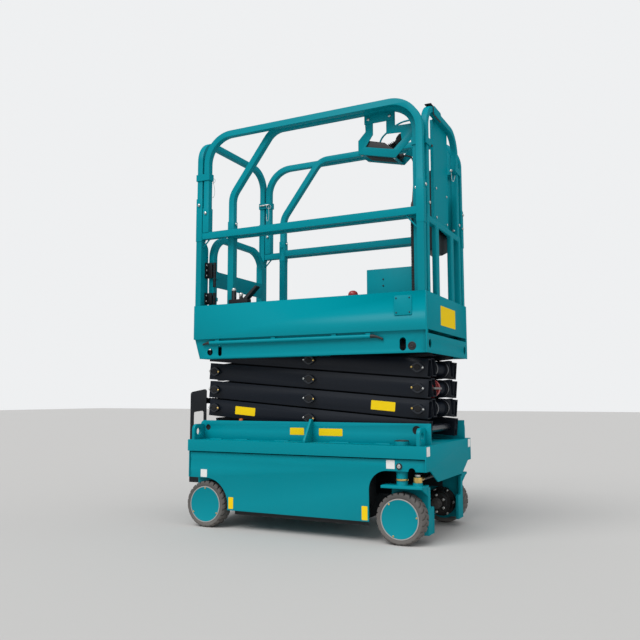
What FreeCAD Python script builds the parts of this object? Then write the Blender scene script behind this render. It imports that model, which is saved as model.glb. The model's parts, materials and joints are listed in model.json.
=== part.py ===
# Compact self-propelled scissor lift, 0.76 m wide, stowed.
# Frame: X forward (steered end), Y to the machine's left, Z up, millimetres.
# Origin: on the ground, under the middle of the bounding box.
import FreeCAD, Part
import Sketcher
import math
import os
import re

Vector = FreeCAD.Vector
Rotation = FreeCAD.Rotation
Placement = FreeCAD.Placement

doc = FreeCAD.newDocument("ScissorLift")
sheet = doc.addObject("Spreadsheet::Sheet", "sizes")

# Driving dimensions: name, value, what it measures
SIZES = (
    ("chassis_rear", -597, "rear face of the chassis"),
    ("chassis_front", 701, "front face of the chassis"),
    ("ledge_half", 380, "half width over the ledges"),
    ("ledge_top", 441, "top of the ledge"),
    ("band_foot", 383, "lower edge of the ledge's side band"),
    ("sheet_wall", 6, "folded sheet of the chassis and deck"),
    ("rib_half", 288, "half width over the raised side walls"),
    ("rib_wall", 8, "thickness of a raised side wall"),
    ("rib_top", 538, "top of the raised side walls"),
    ("rib_rear", -582, "rear end of the raised side walls"),
    ("rib_front", 695, "front end of the raised side walls"),
    ("rib_round", 22, "rounded upper corners of the raised side walls"),
    ("belly_low", 94, "underside of the belly plate"),
    ("bay_rear", -334, "rear bulkhead"),
    ("bay_front", 385, "front bulkhead"),
    ("bay_half", 352, "half width of the bulkheads"),
    ("nose_half", 190, "half width of the chassis between the steered wheels"),
    ("nose_low", 200, "lower edge of the walls between the steered wheels"),
    ("nose_step_x", 600, "front end of those walls behind the tie rod"),
    ("nose_step_z", 330, "lower edge of those walls over the tie rod"),
    ("well_half", 282, "half width between the rear wheel wells"),
    ("lug_wall", 16, "thickness of a tie-down lug"),
    ("lug_top", 520, "top of the tie-down lugs"),
    ("lug_front", 664, "middle of the front lugs"),
    ("lug_rear", -563, "middle of the rear lugs"),
    ("lug_hole_y", 340, "lug eye, sideways"),
    ("lug_hole_z", 482, "lug eye, height"),
    ("lug_hole", 20, "radius of a lug eye"),
    ("brace_x", 87, "middle gusset of the raised walls"),
    ("brace_top", 552, "top of the middle gusset"),
    ("king_x", 570, "kingpin axis, forward"),
    ("king_y", 331, "kingpin axis, sideways"),
    ("king_boss", 26, "radius of the kingpin boss"),
    ("king_pin", 16, "radius of the kingpin"),
    ("king_cap", 34, "radius of the cap on the ledge"),
    ("wheel_radius", 115, "tyre radius"),
    ("tyre_bore", 90, "radius of the rim under the tyre"),
    ("rim_radius", 86, "radius of the painted hub cover"),
    ("wheel_width", 80, "tyre width"),
    ("wheel_out", 375, "outer face of the tyres"),
    ("rear_axle_x", -486, "rear axle"),
    ("front_axle_x", 570, "front wheel axis"),
    ("stub_radius", 20, "stub axle radius"),
    ("run_gap", 0.05, "radial running clearance of a pin"),
    ("hub_gap", 6, "side gap between a wheel and what carries it"),
    ("yoke_rear", 482, "rear end of the yoke's top plate"),
    ("yoke_front", 678, "front end of the yoke"),
    ("yoke_top", 262, "top of the yoke's top plate"),
    ("yoke_wall", 12, "yoke plate thickness"),
    ("yoke_low", 38, "lower end of the yoke's side plate"),
    ("yoke_flange", 15, "thickness of the yoke's front flange"),
    ("yoke_neck", 256, "inner edge of the flange's narrow upper part"),
    ("yoke_in", 203, "inner edge of the flange's lower part"),
    ("motor_radius", 74, "drive motor flange radius"),
    ("tie_x", 644, "tie rod pins, forward"),
    ("tie_z", 288, "tie rod height"),
    ("tie_radius", 10, "tie rod radius"),
    ("tie_pin", 9, "tie rod pin radius"),
    ("tie_eye", 20, "tie rod eye radius"),
    ("door_out", 368, "outer face of the side doors"),
    ("door_wall", 4, "thickness of a door panel"),
    ("door_rear", -586, "rear edge of a door"),
    ("door_front", 694, "front edge of a door"),
    ("door_top", 378, "upper edge of a door"),
    ("door_heel", 248, "lower edge of a door above the rear wheel"),
    ("door_low", 93, "lower edge of a door between the wheels"),
    ("door_lip", 326, "lower edge of a door above the front wheel"),
    ("door_hinge_x", -582, "door hinge axis, forward"),
    ("lock_x", 570, "door lock, forward"),
    ("lock_z", 348, "door lock, height"),
    ("rear_arch", 133, "radius of the arch over a rear wheel"),
    ("front_arch", 88, "radius of the arch's corner over a front wheel"),
    ("arm_span", 1146, "distance between an arm's end pins"),
    ("arm_high", 88, "height of an arm's tube"),
    ("arm_wide", 55, "width of an arm's tube"),
    ("arm_wall", 6, "wall of an arm's tube"),
    ("arm_over", 44, "arm beyond its end pin"),
    ("outer_out", 244, "outer face of the outer arms"),
    ("inner_out", 177, "outer face of the inner arms"),
    ("pin_x", 627, "fixed pins, forward"),
    ("pin_z", 507.7, "lowest fixed pin, height"),
    ("deck_pin_z", 894.48, "highest fixed pin, height"),
    ("rest_angle", 4.84, "arm angle when stowed, degrees"),
    ("ram_foot", 500, "lower pin of the lift cylinder, along the lowest inner arms"),
    ("ram_head", -360, "upper pin of the lift cylinder, along the third inner arms"),
    ("ram_length", 865.409, "distance between the cylinder's pins when stowed"),
    ("ram_angle", 188.0255, "lean of the cylinder when stowed, degrees"),
    ("ram_barrel", 38, "radius of the cylinder's barrel"),
    ("ram_rod", 19, "radius of the cylinder's rod"),
    ("ram_eye", 30, "radius of the cylinder's eyes"),
    ("ram_pin", 14, "radius of the cylinder's pins"),
    ("ram_gap", 25, "half the gap in the upper cross tube for the rod's eye"),
    ("shaft_radius", 20, "pivot shaft radius"),
    ("bush_radius", 32, "bush tube radius"),
    ("spool_radius", 41, "radius of the collars on the front cross tubes"),
    ("ring_radius", 46, "radius of the red ring"),
    ("head_radius", 23, "round head on the end of a pin"),
    ("head_out", 262, "outer face of the pin heads"),
    ("roller_radius", 24, "sliding end roller radius"),
    ("roller_out", 278, "outer end of a sliding shaft"),
    ("tip_radius", 16, "end of the deck's sliding shaft, seen through the skirt"),
    ("tip_out", 321, "outer end of the deck's sliding shaft"),
    ("deck_rear", -596, "rear end of the deck"),
    ("deck_front", 703, "front end of the deck"),
    ("deck_half", 347, "half width over the deck's upper skirt"),
    ("skirt_half", 333, "half width over the deck's lower skirt"),
    ("skirt_wall", 3, "skirt sheet thickness"),
    ("deck_wall", 5, "deck plate thickness"),
    ("skirt_low", 862.5, "lower edge of the lower skirt"),
    ("skirt_slant", 32, "how far the lower skirt's rear end slants forward"),
    ("skirt_top", 966, "step between the lower and upper skirt"),
    ("lip_top", 952, "top of the deck's front plate"),
    ("toe_top", 1147, "top of the toe boards"),
    ("floor_top", 990, "main deck floor"),
    ("tube_half", 16, "half side of the square rail tubes"),
    ("post_half", 18, "half side of the square lower posts"),
    ("socket_half", 19, "half side of the fold sockets"),
    ("rail_y", 328, "main side rails, sideways"),
    ("post_y", 326, "lower posts of the main side rails, sideways"),
    ("rail_top", 2076, "middle height of the top rails"),
    ("mid_low", 1510, "lower face of the mid rails"),
    ("mid_top", 1546, "upper face of the mid rails"),
    ("post_rear", -531, "rear posts of the side rails"),
    ("post_front", 680, "front posts of the side rails"),
    ("side_bend", 150, "bend radius of the side rails"),
    ("end_bend", 120, "bend radius of the end frames"),
    ("back_x", -574, "rear end frame"),
    ("back_top", 2069, "middle height of the rear end frame's top"),
    ("back_post_top", 1500, "top of the rear end frame's lower posts"),
    ("back_post_in", 278, "inner face of the rear end frame's lower posts"),
    ("gate_x", -536, "gate tubes, forward"),
    ("gate_near", -262, "gate tube beside the hinge"),
    ("gate_far", 240, "gate tube beside the latch"),
    ("gate_top", 1536, "middle height of the gate's upper tube"),
    ("gate_foot", 1010, "lower edge of the gate's toe plate"),
    ("gate_pin_x", -511, "gate hinge axis, forward"),
    ("gate_pin_y", -284, "gate hinge axis, sideways"),
    ("slide_low", 996, "underside of the extension floor"),
    ("slide_top", 1001, "top of the extension floor"),
    ("slide_rear", -424, "rear edge of the extension floor"),
    ("slide_half", 300, "half width of the extension floor"),
    ("slide_rail_y", 279.5, "extension side rails, sideways"),
    ("slide_post", -400, "rear posts of the extension rails"),
    ("slide_front", 647, "front posts of the extension rails"),
    ("knee_z", 1745, "knee of the extension's rear posts"),
    ("knee_x", -148, "where the slanted rail meets the top"),
    ("knee_bend", 110, "bend radius of the slanted rail"),
    ("toe_half", 324, "half width of the extension's toe board"),
    ("nose_x", 681, "front end frame"),
    ("nose_y", 257, "upper posts of the front end frame, sideways"),
    ("nose_low_y", 270, "lower posts of the front end frame, sideways"),
    ("nose_bend", 115, "bend radius of the front end frame"),
    ("nose_bar_y", 129, "bars of the front end frame, sideways"),
    ("nose_bar", 23.5, "half width of those bars"),
    ("nose_band", 1861, "lower edge of the bands on the front posts"),
    ("nose_mid", 1488, "lower face of the front end frame's cross rail"),
    ("sheet_near", -83, "near edge of the front sheet"),
    ("sheet_far", 162, "far edge of the front sheet"),
    ("manual_rear", 592, "rear face of the manual box"),
    ("manual_front", 653, "front face of the manual box"),
    ("manual_near", -78, "near end of the manual box"),
    ("manual_far", 194, "far end of the manual box"),
    ("manual_low", 1390, "underside of the manual box"),
    ("manual_high", 1800, "top of the manual box"),
    ("ladder_rear", -703, "rear edge of the ladder plates"),
    ("ladder_half", 222, "half width over the ladder plates"),
    ("ladder_top", 706, "top of the ladder plates"),
    ("ladder_foot", 200, "foot of the ladder plates"),
    ("control_y", -258.5, "near face of the control bracket"),
    ("conduit_x", 613, "corrugated conduit, forward"),
    ("conduit_y", -250, "corrugated conduit, sideways"),
    ("cable_radius", 4, "control cable radius"),
)

for row, (alias, value, note) in enumerate(SIZES, start=1):
    sheet.set("A%d" % row, note)
    sheet.set("B%d" % row, str(value))
    sheet.setAlias("B%d" % row, alias)
doc.recompute()

ALIASES = {alias for alias, value, note in SIZES}


def size(alias):
    return float(sheet.get(alias))


def bound(thing, prop, formula):
    """Tie a property to a formula written with the sheet's names."""
    words = re.sub(r"[a-z_]+", lambda m: "sizes." + m.group(0) if m.group(0) in ALIASES else m.group(0), formula)
    thing.setExpression(prop, words)


def block(name, x, y, z):
    """Box between pairs of limits."""
    box = doc.addObject("Part::Box", name)
    for prop, axis, (low, high) in (("Length", "x", x), ("Width", "y", y), ("Height", "z", z)):
        bound(box, prop, "(%s) - (%s)" % (high, low))
        bound(box, "Placement.Base." + axis, low)
    return box


AXIS_TURN = {
    "x": Rotation(Vector(0, 1, 0), 90),
    "y": Rotation(Vector(1, 0, 0), -90),
    "z": Rotation(),
}


def rod(name, axis, centre, span, radius):
    """Cylinder along an axis; centre gives the two other coordinates in X, Y, Z order."""
    cylinder = doc.addObject("Part::Cylinder", name)
    cylinder.Placement = Placement(Vector(), AXIS_TURN[axis])
    places = dict(zip([a for a in "xyz" if a != axis], centre))
    places[axis] = span[0]
    for letter, formula in places.items():
        bound(cylinder, "Placement.Base." + letter, formula)
    bound(cylinder, "Radius", radius)
    bound(cylinder, "Height", "(%s) - (%s)" % (span[1], span[0]))
    return cylinder


PLANE_ROLE = {"xy": "XY_Plane", "xz": "XZ_Plane", "yz": "YZ_Plane"}


def plate(name, plane, outline, span, rounds=None):
    """Padded outline. Points are formula pairs; rounds gives corner number and radius formula."""
    body = doc.addObject("PartDesign::Body", name)
    sketch = body.newObject("Sketcher::SketchObject", name + "_outline")
    origin_plane = [f for f in body.Origin.OriginFeatures if f.Role == PLANE_ROLE[plane]][0]
    sketch.AttachmentSupport = [(origin_plane, "")]
    sketch.MapMode = "FlatFace"
    low, high = span
    bound(sketch, "AttachmentOffset.Base.z", "-(%s)" % high if plane == "xz" else low)
    corners = [(number(u), number(v)) for u, v in outline]
    count = len(corners)
    for i, (u, v) in enumerate(corners):
        following = corners[(i + 1) % count]
        sketch.addGeometry(Part.LineSegment(Vector(u, v, 0), Vector(following[0], following[1], 0)))
    for i in range(count):
        sketch.addConstraint(Sketcher.Constraint("Coincident", i, 2, (i + 1) % count, 1))
    for i, (u, v) in enumerate(outline):
        for kind, formula, figure in (("DistanceX", u, corners[i][0]), ("DistanceY", v, corners[i][1])):
            index = sketch.addConstraint(Sketcher.Constraint(kind, -1, 1, i, 1, figure))
            bound(sketch, "Constraints[%d]" % index, formula)
    pad = body.newObject("PartDesign::Pad", name + "_pad")
    pad.Profile = sketch
    bound(pad, "Length", "(%s) - (%s)" % (high, low))
    if rounds:
        doc.recompute()
        for corner, radius in rounds:
            edges = corner_edges(body.Tip.Shape, plane, corners[corner])
            base = body.Tip
            fillet = body.newObject("PartDesign::Fillet", "%s_round%d" % (name, corner))
            fillet.Base = (base, edges)
            bound(fillet, "Radius", radius)
            body.Tip = fillet
            doc.recompute()
    return body


def number(formula):
    """Value of a formula, worked out by a cell of the sheet."""
    words = formula
    sheet.set("D1", "=" + words)
    sheet.recompute()
    return float(sheet.get("D1"))


def corner_edges(shape, plane, corner):
    """Names of the straight edges that stand on a corner of the outline."""
    pick = {"xy": (0, 1), "xz": (0, 2), "yz": (1, 2)}[plane]
    names = []
    for index, edge in enumerate(shape.Edges, start=1):
        ends = [vertex.Point for vertex in edge.Vertexes]
        if len(ends) != 2:
            continue
        if all(abs(p[pick[0]] - corner[0]) < 0.01 and abs(p[pick[1]] - corner[1]) < 0.01 for p in ends):
            names.append("Edge%d" % index)
    return names


def fuse(name, pieces):
    joined = doc.addObject("Part::MultiFuse", name)
    joined.Shapes = pieces
    joined.Refine = True
    return joined


def cut(name, base, tools):
    """Base less its tools."""
    tool = tools[0] if len(tools) == 1 else fuse(name + "_tools", tools)
    result = doc.addObject("Part::Cut", name)
    result.Base = base
    result.Tool = tool
    result.Refine = True
    return result


def bent_tube(name, plane, offset, points, bends, half):
    """Square tube swept along straight runs joined by tangent arcs.

    Points are formula pairs in the plane; the first run stands upright.
    """
    body = doc.addObject("PartDesign::Body", name)
    planes = {f.Role: f for f in body.Origin.OriginFeatures}
    path = body.newObject("Sketcher::SketchObject", name + "_path")
    path.AttachmentSupport = [(planes[PLANE_ROLE[plane]], "")]
    path.MapMode = "FlatFace"
    bound(path, "AttachmentOffset.Base.z", "-(%s)" % offset if plane == "xz" else offset)
    corners = [Vector(number(u), number(v), 0) for u, v in points]
    lines = []
    arcs = []
    start = corners[0]
    for i in range(1, len(corners) - 1):
        back = (corners[i - 1] - corners[i]).normalize()
        ahead = (corners[i + 1] - corners[i]).normalize()
        half_turn = (math.pi - back.getAngle(ahead)) / 2
        radius = number(bends[i - 1])
        first = corners[i] + back * (radius * math.tan(half_turn))
        last = corners[i] + ahead * (radius * math.tan(half_turn))
        centre = corners[i] + (back + ahead).normalize() * (radius / math.cos(half_turn))
        turns_left = back.cross(ahead).z < 0
        ends = (first, last) if turns_left else (last, first)
        low, high = [math.atan2(e.y - centre.y, e.x - centre.x) for e in ends]
        if high < low:
            high += 2 * math.pi
        lines.append(path.addGeometry(Part.LineSegment(start, first)))
        circle = Part.Circle(centre, Vector(0, 0, 1), radius)
        arcs.append((path.addGeometry(Part.ArcOfCircle(circle, low, high)), 1 if turns_left else 2))
        start = last
    lines.append(path.addGeometry(Part.LineSegment(start, corners[-1])))
    for i, (arc, entry) in enumerate(arcs):
        path.addConstraint(Sketcher.Constraint("Tangent", lines[i], 2, arc, entry))
        path.addConstraint(Sketcher.Constraint("Tangent", arc, 3 - entry, lines[i + 1], 1))
        index = path.addConstraint(Sketcher.Constraint("Radius", arc, number(bends[i])))
        bound(path, "Constraints[%d]" % index, bends[i])
        corner = path.addGeometry(Part.Point(corners[i + 1]), True)
        path.addConstraint(Sketcher.Constraint("PointOnObject", corner, 1, lines[i]))
        path.addConstraint(Sketcher.Constraint("PointOnObject", corner, 1, lines[i + 1]))
        pin_point(path, corner, 1, points[i + 1])
    pin_point(path, lines[0], 1, points[0])
    pin_point(path, lines[-1], 2, points[-1])
    profile = body.newObject("Sketcher::SketchObject", name + "_profile")
    profile.AttachmentSupport = [(planes["XY_Plane"], "")]
    profile.MapMode = "FlatFace"
    along, height = points[0]
    place = (along, offset) if plane == "xz" else (offset, along)
    bound(profile, "AttachmentOffset.Base.x", place[0])
    bound(profile, "AttachmentOffset.Base.y", place[1])
    bound(profile, "AttachmentOffset.Base.z", height)
    square = [("-(%s)" % half, "-(%s)" % half), (half, "-(%s)" % half), (half, half), ("-(%s)" % half, half)]
    polygon(profile, square)
    pipe = body.newObject("PartDesign::AdditivePipe", name + "_pipe")
    pipe.Profile = profile
    pipe.Spine = (path, [])
    pipe.Mode = "Standard"
    return body


def pin_point(sketch, geometry, vertex, formulas):
    """Fix a sketch point by two formulas."""
    for kind, formula in zip(("DistanceX", "DistanceY"), formulas):
        index = sketch.addConstraint(Sketcher.Constraint(kind, -1, 1, geometry, vertex, number(formula)))
        bound(sketch, "Constraints[%d]" % index, formula)


def polygon(sketch, outline):
    """Closed outline of straight lines between formula pairs."""
    corners = [Vector(number(u), number(v), 0) for u, v in outline]
    count = len(corners)
    for i in range(count):
        sketch.addGeometry(Part.LineSegment(corners[i], corners[(i + 1) % count]))
    for i in range(count):
        sketch.addConstraint(Sketcher.Constraint("Coincident", i, 2, (i + 1) % count, 1))
    for i in range(count):
        pin_point(sketch, i, 1, outline[i])


def free_cord(name, points, radius):
    """Round cord: straight runs joined by the widest tangent arcs that leave a tenth of each run."""
    points = [Vector(*p) for p in points]
    edges = []
    start = points[0]
    for i in range(1, len(points) - 1):
        back = points[i - 1] - points[i]
        ahead = points[i + 1] - points[i]
        reach = 0.45 * min(back.Length, ahead.Length)
        half_turn = (math.pi - back.getAngle(ahead)) / 2
        bend = reach / math.tan(half_turn)
        print(name, "bend", i, "radius", round(bend, 1))
        back.normalize()
        ahead.normalize()
        first = points[i] + back * reach
        last = points[i] + ahead * reach
        inward = (back + ahead).normalize()
        middle = points[i] + inward * (bend / math.cos(half_turn) - bend)
        edges.append(Part.LineSegment(start, first).toShape())
        edges.append(Part.Arc(first, middle, last).toShape())
        start = last
    edges.append(Part.LineSegment(start, points[-1]).toShape())
    profile = Part.Wire(Part.makeCircle(radius, points[0], points[1] - points[0]))
    cord = doc.addObject("Part::Feature", name)
    cord.Shape = Part.Wire(edges).makePipeShell([profile], True, False)
    return cord


def group(name, pieces):
    """Plates that meet face to face, kept as separate solids."""
    compound = doc.addObject("Part::Compound", name)
    compound.Links = pieces
    return compound


NODES = []


def node(piece, label):
    """Names a finished sub-part."""
    piece.Label = label
    NODES.append(piece)
    return piece


SIDES = (("left", 1), ("right", -1))


def side_span(sign, inner, outer):
    """Y limits of something between two half widths, on one side."""
    if sign > 0:
        return (inner, outer)
    return ("-(%s)" % outer, "-(%s)" % inner)


def signed(sign, formula):
    return formula if sign > 0 else "-(%s)" % formula


# Tabs along the foot of the raised walls: rear end, front end
LEDGE_TABS = (("-512", "-440"), ("-360", "-280"), ("-120", "-40"), ("190", "290"), ("430", "500"))


def ledge():
    """Top plate with its folded side bands and the tabs of the raised walls."""
    channel = plate("ledge_channel", "yz", [
        ("-ledge_half", "band_foot"), ("sheet_wall - ledge_half", "band_foot"),
        ("sheet_wall - ledge_half", "ledge_top - sheet_wall"), ("ledge_half - sheet_wall", "ledge_top - sheet_wall"),
        ("ledge_half - sheet_wall", "band_foot"), ("ledge_half", "band_foot"),
        ("ledge_half", "ledge_top"), ("-ledge_half", "ledge_top")],
        ("chassis_rear + sheet_wall", "chassis_front - sheet_wall"))
    pieces = [channel]
    for side, sign in SIDES:
        for index, (low, high) in enumerate(LEDGE_TABS):
            pieces.append(block("tab_%s_%d" % (side, index), (low, high), side_span(sign, "rib_half", "rib_half + 16"),
                                ("ledge_top - 2", "ledge_top + 4")))
    return fuse("ledge", pieces)


def raised_wall(side, sign):
    """Upright wall beside the arms, with the round holes at both ends."""
    wall = plate("wall_" + side, "xz", [
        ("rib_rear", "ledge_top"), ("rib_front", "ledge_top"), ("rib_front", "rib_top"), ("rib_rear", "rib_top")],
        side_span(sign, "rib_half - rib_wall", "rib_half"), [(3, "rib_round")])
    holes = [
        rod("wall_hole_" + side, "y", ("-534", "502"), side_span(sign, "rib_half - 20", "rib_half + 20"), "15"),
        rod("wall_seat_" + side, "y", ("pin_x", "pin_z"), side_span(sign, "rib_half - 3", "rib_half + 20"), "20"),
    ]
    return cut("wall_drilled_" + side, wall, holes)


def tie_down_lug(side, sign, place, middle):
    lug = plate("lug_%s_%s" % (place, side), "yz", [
        (signed(sign, "rib_half"), "ledge_top"), (signed(sign, "ledge_half"), "ledge_top"),
        (signed(sign, "ledge_half"), "lug_top"), (signed(sign, "rib_half"), "lug_top")],
        ("%s - lug_wall / 2" % middle, "%s + lug_wall / 2" % middle), [(2, "28"), (3, "14")])
    eye = rod("lug_drill_%s_%s" % (place, side), "x", (signed(sign, "lug_hole_y"), "lug_hole_z"),
              ("%s - lug_wall" % middle, "%s + lug_wall" % middle), "lug_hole")
    return cut("lug_eye_%s_%s" % (place, side), lug, [eye])


def chassis_frame():
    front = plate("front_plate", "yz", [
        ("-ledge_half", "ledge_top"), ("-ledge_half", "door_lip + 2"), ("-318", "door_lip + 2"), ("-207", "270"),
        ("207", "270"), ("318", "door_lip + 2"), ("ledge_half", "door_lip + 2"), ("ledge_half", "ledge_top")],
        ("chassis_front - sheet_wall", "chassis_front"))
    rear = plate("rear_plate", "yz", [
        ("-ledge_half", "ledge_top"), ("-ledge_half", "band_foot"), ("-door_out", "band_foot"), ("-door_out", "door_heel"),
        ("-well_half", "door_heel"), ("-well_half", "belly_low"), ("well_half", "belly_low"), ("well_half", "door_heel"),
        ("door_out", "door_heel"), ("door_out", "band_foot"), ("ledge_half", "band_foot"), ("ledge_half", "ledge_top")],
        ("chassis_rear", "chassis_rear + sheet_wall"))
    pieces = [
        ledge(), front, rear,
        block("belly", ("bay_rear", "bay_front"), ("-bay_half", "bay_half"), ("belly_low", "belly_low + sheet_wall")),
    ]
    upright = ("belly_low + sheet_wall", "ledge_top - sheet_wall")
    across = ("-bay_half", "bay_half")
    pieces.append(block("rear_bulkhead", ("bay_rear", "bay_rear + sheet_wall"), across, upright))
    pieces.append(block("front_bulkhead", ("bay_front - sheet_wall", "bay_front"), across, upright))
    for side, sign in SIDES:
        pieces.append(block("well_" + side, ("chassis_rear + sheet_wall", "bay_rear"),
                            side_span(sign, "well_half - sheet_wall", "well_half"), ("belly_low", "ledge_top - sheet_wall")))
        pieces.append(plate("nose_wall_" + side, "xz", [
            ("bay_front", "nose_low"), ("nose_step_x", "nose_low"), ("nose_step_x", "nose_step_z"),
            ("chassis_front - sheet_wall", "nose_step_z"), ("chassis_front - sheet_wall", "ledge_top - sheet_wall"),
            ("bay_front", "ledge_top - sheet_wall")], side_span(sign, "nose_half - sheet_wall", "nose_half")))
        pieces.append(raised_wall(side, sign))
        for place, middle in (("front", "lug_front"), ("rear", "lug_rear")):
            pieces.append(tie_down_lug(side, sign, place, middle))
        pieces.append(plate("brace_" + side, "yz", [
            (signed(sign, "rib_half"), "ledge_top"), (signed(sign, "376"), "ledge_top"),
            (signed(sign, "376"), "ledge_top + 12"), (signed(sign, "306"), "brace_top"),
            (signed(sign, "rib_half"), "brace_top")], ("brace_x - 6", "brace_x + 6")))
    node(group("chassis_plates", pieces), "chassis_frame")
    node(rod("base_rod", "y", ("pin_x", "pin_z"), ("rib_wall - rib_half", "rib_half - rib_wall"), "shaft_radius"),
         "base_shaft")


def kingpin_bosses():
    pieces = []
    for side, sign in SIDES:
        centre = ("king_x", signed(sign, "king_y"))
        boss = rod("boss_" + side, "z", centre, ("yoke_top + 30", "ledge_top - sheet_wall"), "king_boss")
        bore = rod("boss_bore_" + side, "z", centre, ("yoke_top", "ledge_top - 40"), "king_pin + run_gap")
        pieces.append(cut("boss_bored_" + side, boss, [bore]))
        pieces.append(rod("boss_cap_" + side, "z", centre, ("ledge_top", "ledge_top + 18"), "king_cap"))
    node(group("bosses", pieces), "kingpin_bosses")


def pothole_guards():
    pieces = []
    for side, sign in SIDES:
        pieces.append(block("guard_" + side, ("bay_rear + 12", "bay_front + 22"), side_span(sign, "338", "346"),
                            ("72", "belly_low")))
    node(group("guards", pieces), "pothole_guards")


# Ladder rungs: middle height
RUNGS = ("232", "432", "640")


def ladder():
    pieces = []
    for side, sign in SIDES:
        cheek = plate("cheek_" + side, "xz", [
            ("ladder_rear", "ladder_foot"), ("chassis_rear", "ladder_foot"),
            ("chassis_rear", "ladder_top"), ("ladder_rear", "ladder_top - 18")],
            side_span(sign, "ladder_half - 6", "ladder_half"), [(2, "12"), (3, "16")])
        window = plate("cheek_window_" + side, "xz", [
            ("ladder_rear + 22", "262"), ("chassis_rear - 18", "262"),
            ("chassis_rear - 18", "587"), ("ladder_rear + 22", "579")],
            side_span(sign, "ladder_half - 20", "ladder_half + 20"), [(2, "10"), (3, "10")])
        pieces.append(cut("cheek_open_" + side, cheek, [window]))
    for index, height in enumerate(RUNGS):
        rung = plate("rung_%d" % index, "xz", [
            ("ladder_rear + 4", "%s - 15" % height), ("ladder_rear + 40", "%s - 15" % height),
            ("ladder_rear + 40", "%s + 15" % height), ("ladder_rear + 4", "%s + 15" % height)],
            ("6 - ladder_half", "ladder_half - 6"))
        pieces.append(rung)
    node(group("ladder_frame", pieces), "ladder")


def energy_bay():
    across = ("-330", "330")
    node(block("batteries", ("-310", "110"), across, ("belly_low + sheet_wall", "370")), "battery_pack")
    node(block("pump_unit", ("150", "370"), across, ("belly_low + sheet_wall", "350")), "hydraulic_unit")


def rear_axle():
    pieces = []
    for side, sign in SIDES:
        centre = ("rear_axle_x", "wheel_radius")
        pieces.append(fuse("stub_rear_" + side, [
            rod("stub_pin_" + side, "y", centre, side_span(sign, "well_half", "wheel_out - 20"), "stub_radius"),
            rod("stub_flange_" + side, "y", centre, side_span(sign, "well_half", "well_half + 7"), "34")]))
    node(group("stubs_rear", pieces), "rear_axle")


def revolved(name, centre, sign, outline):
    """Ring about a cross axis. Outline points are radius and distance outwards from the middle plane."""
    body = doc.addObject("PartDesign::Body", name)
    sketch = body.newObject("Sketcher::SketchObject", name + "_outline")
    planes = {f.Role: f for f in body.Origin.OriginFeatures}
    sketch.AttachmentSupport = [(planes["XY_Plane"], "")]
    sketch.MapMode = "FlatFace"
    polygon(sketch, [(radius, signed(sign, out)) for radius, out in outline])
    turn = body.newObject("PartDesign::Revolution", name + "_turn")
    turn.Profile = sketch
    turn.ReferenceAxis = (sketch, ["V_Axis"])
    turn.Angle = 360
    bound(body, "Placement.Base.x", centre[0])
    bound(body, "Placement.Base.z", centre[1])
    return body


def wheel(place, side, sign, axle_x):
    """Solid tyre on a disc hub with a blind bore for its stub axle."""
    centre = (axle_x, "wheel_radius")
    inner = "wheel_out - wheel_width"
    tag = "%s_%s" % (place, side)
    tyre = revolved("tyre_" + tag, centre, sign, [
        ("tyre_bore", inner), ("wheel_radius - 7", inner), ("wheel_radius", inner + " + 9"),
        ("wheel_radius", "wheel_out - 9"), ("wheel_radius - 7", "wheel_out"), ("tyre_bore", "wheel_out")])
    node(tyre, "%s_tyre_%s" % (place, side))
    hub = revolved("hub_" + tag, centre, sign, [
        ("stub_radius + run_gap", inner), ("tyre_bore", inner), ("tyre_bore", "wheel_out - 1"),
        ("rim_radius", "wheel_out - 1"), ("rim_radius", "wheel_out - 3"), ("0", "wheel_out - 3"),
        ("0", "wheel_out - 15"), ("stub_radius + run_gap", "wheel_out - 15")])
    node(hub, "%s_hub_%s" % (place, side))


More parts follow.
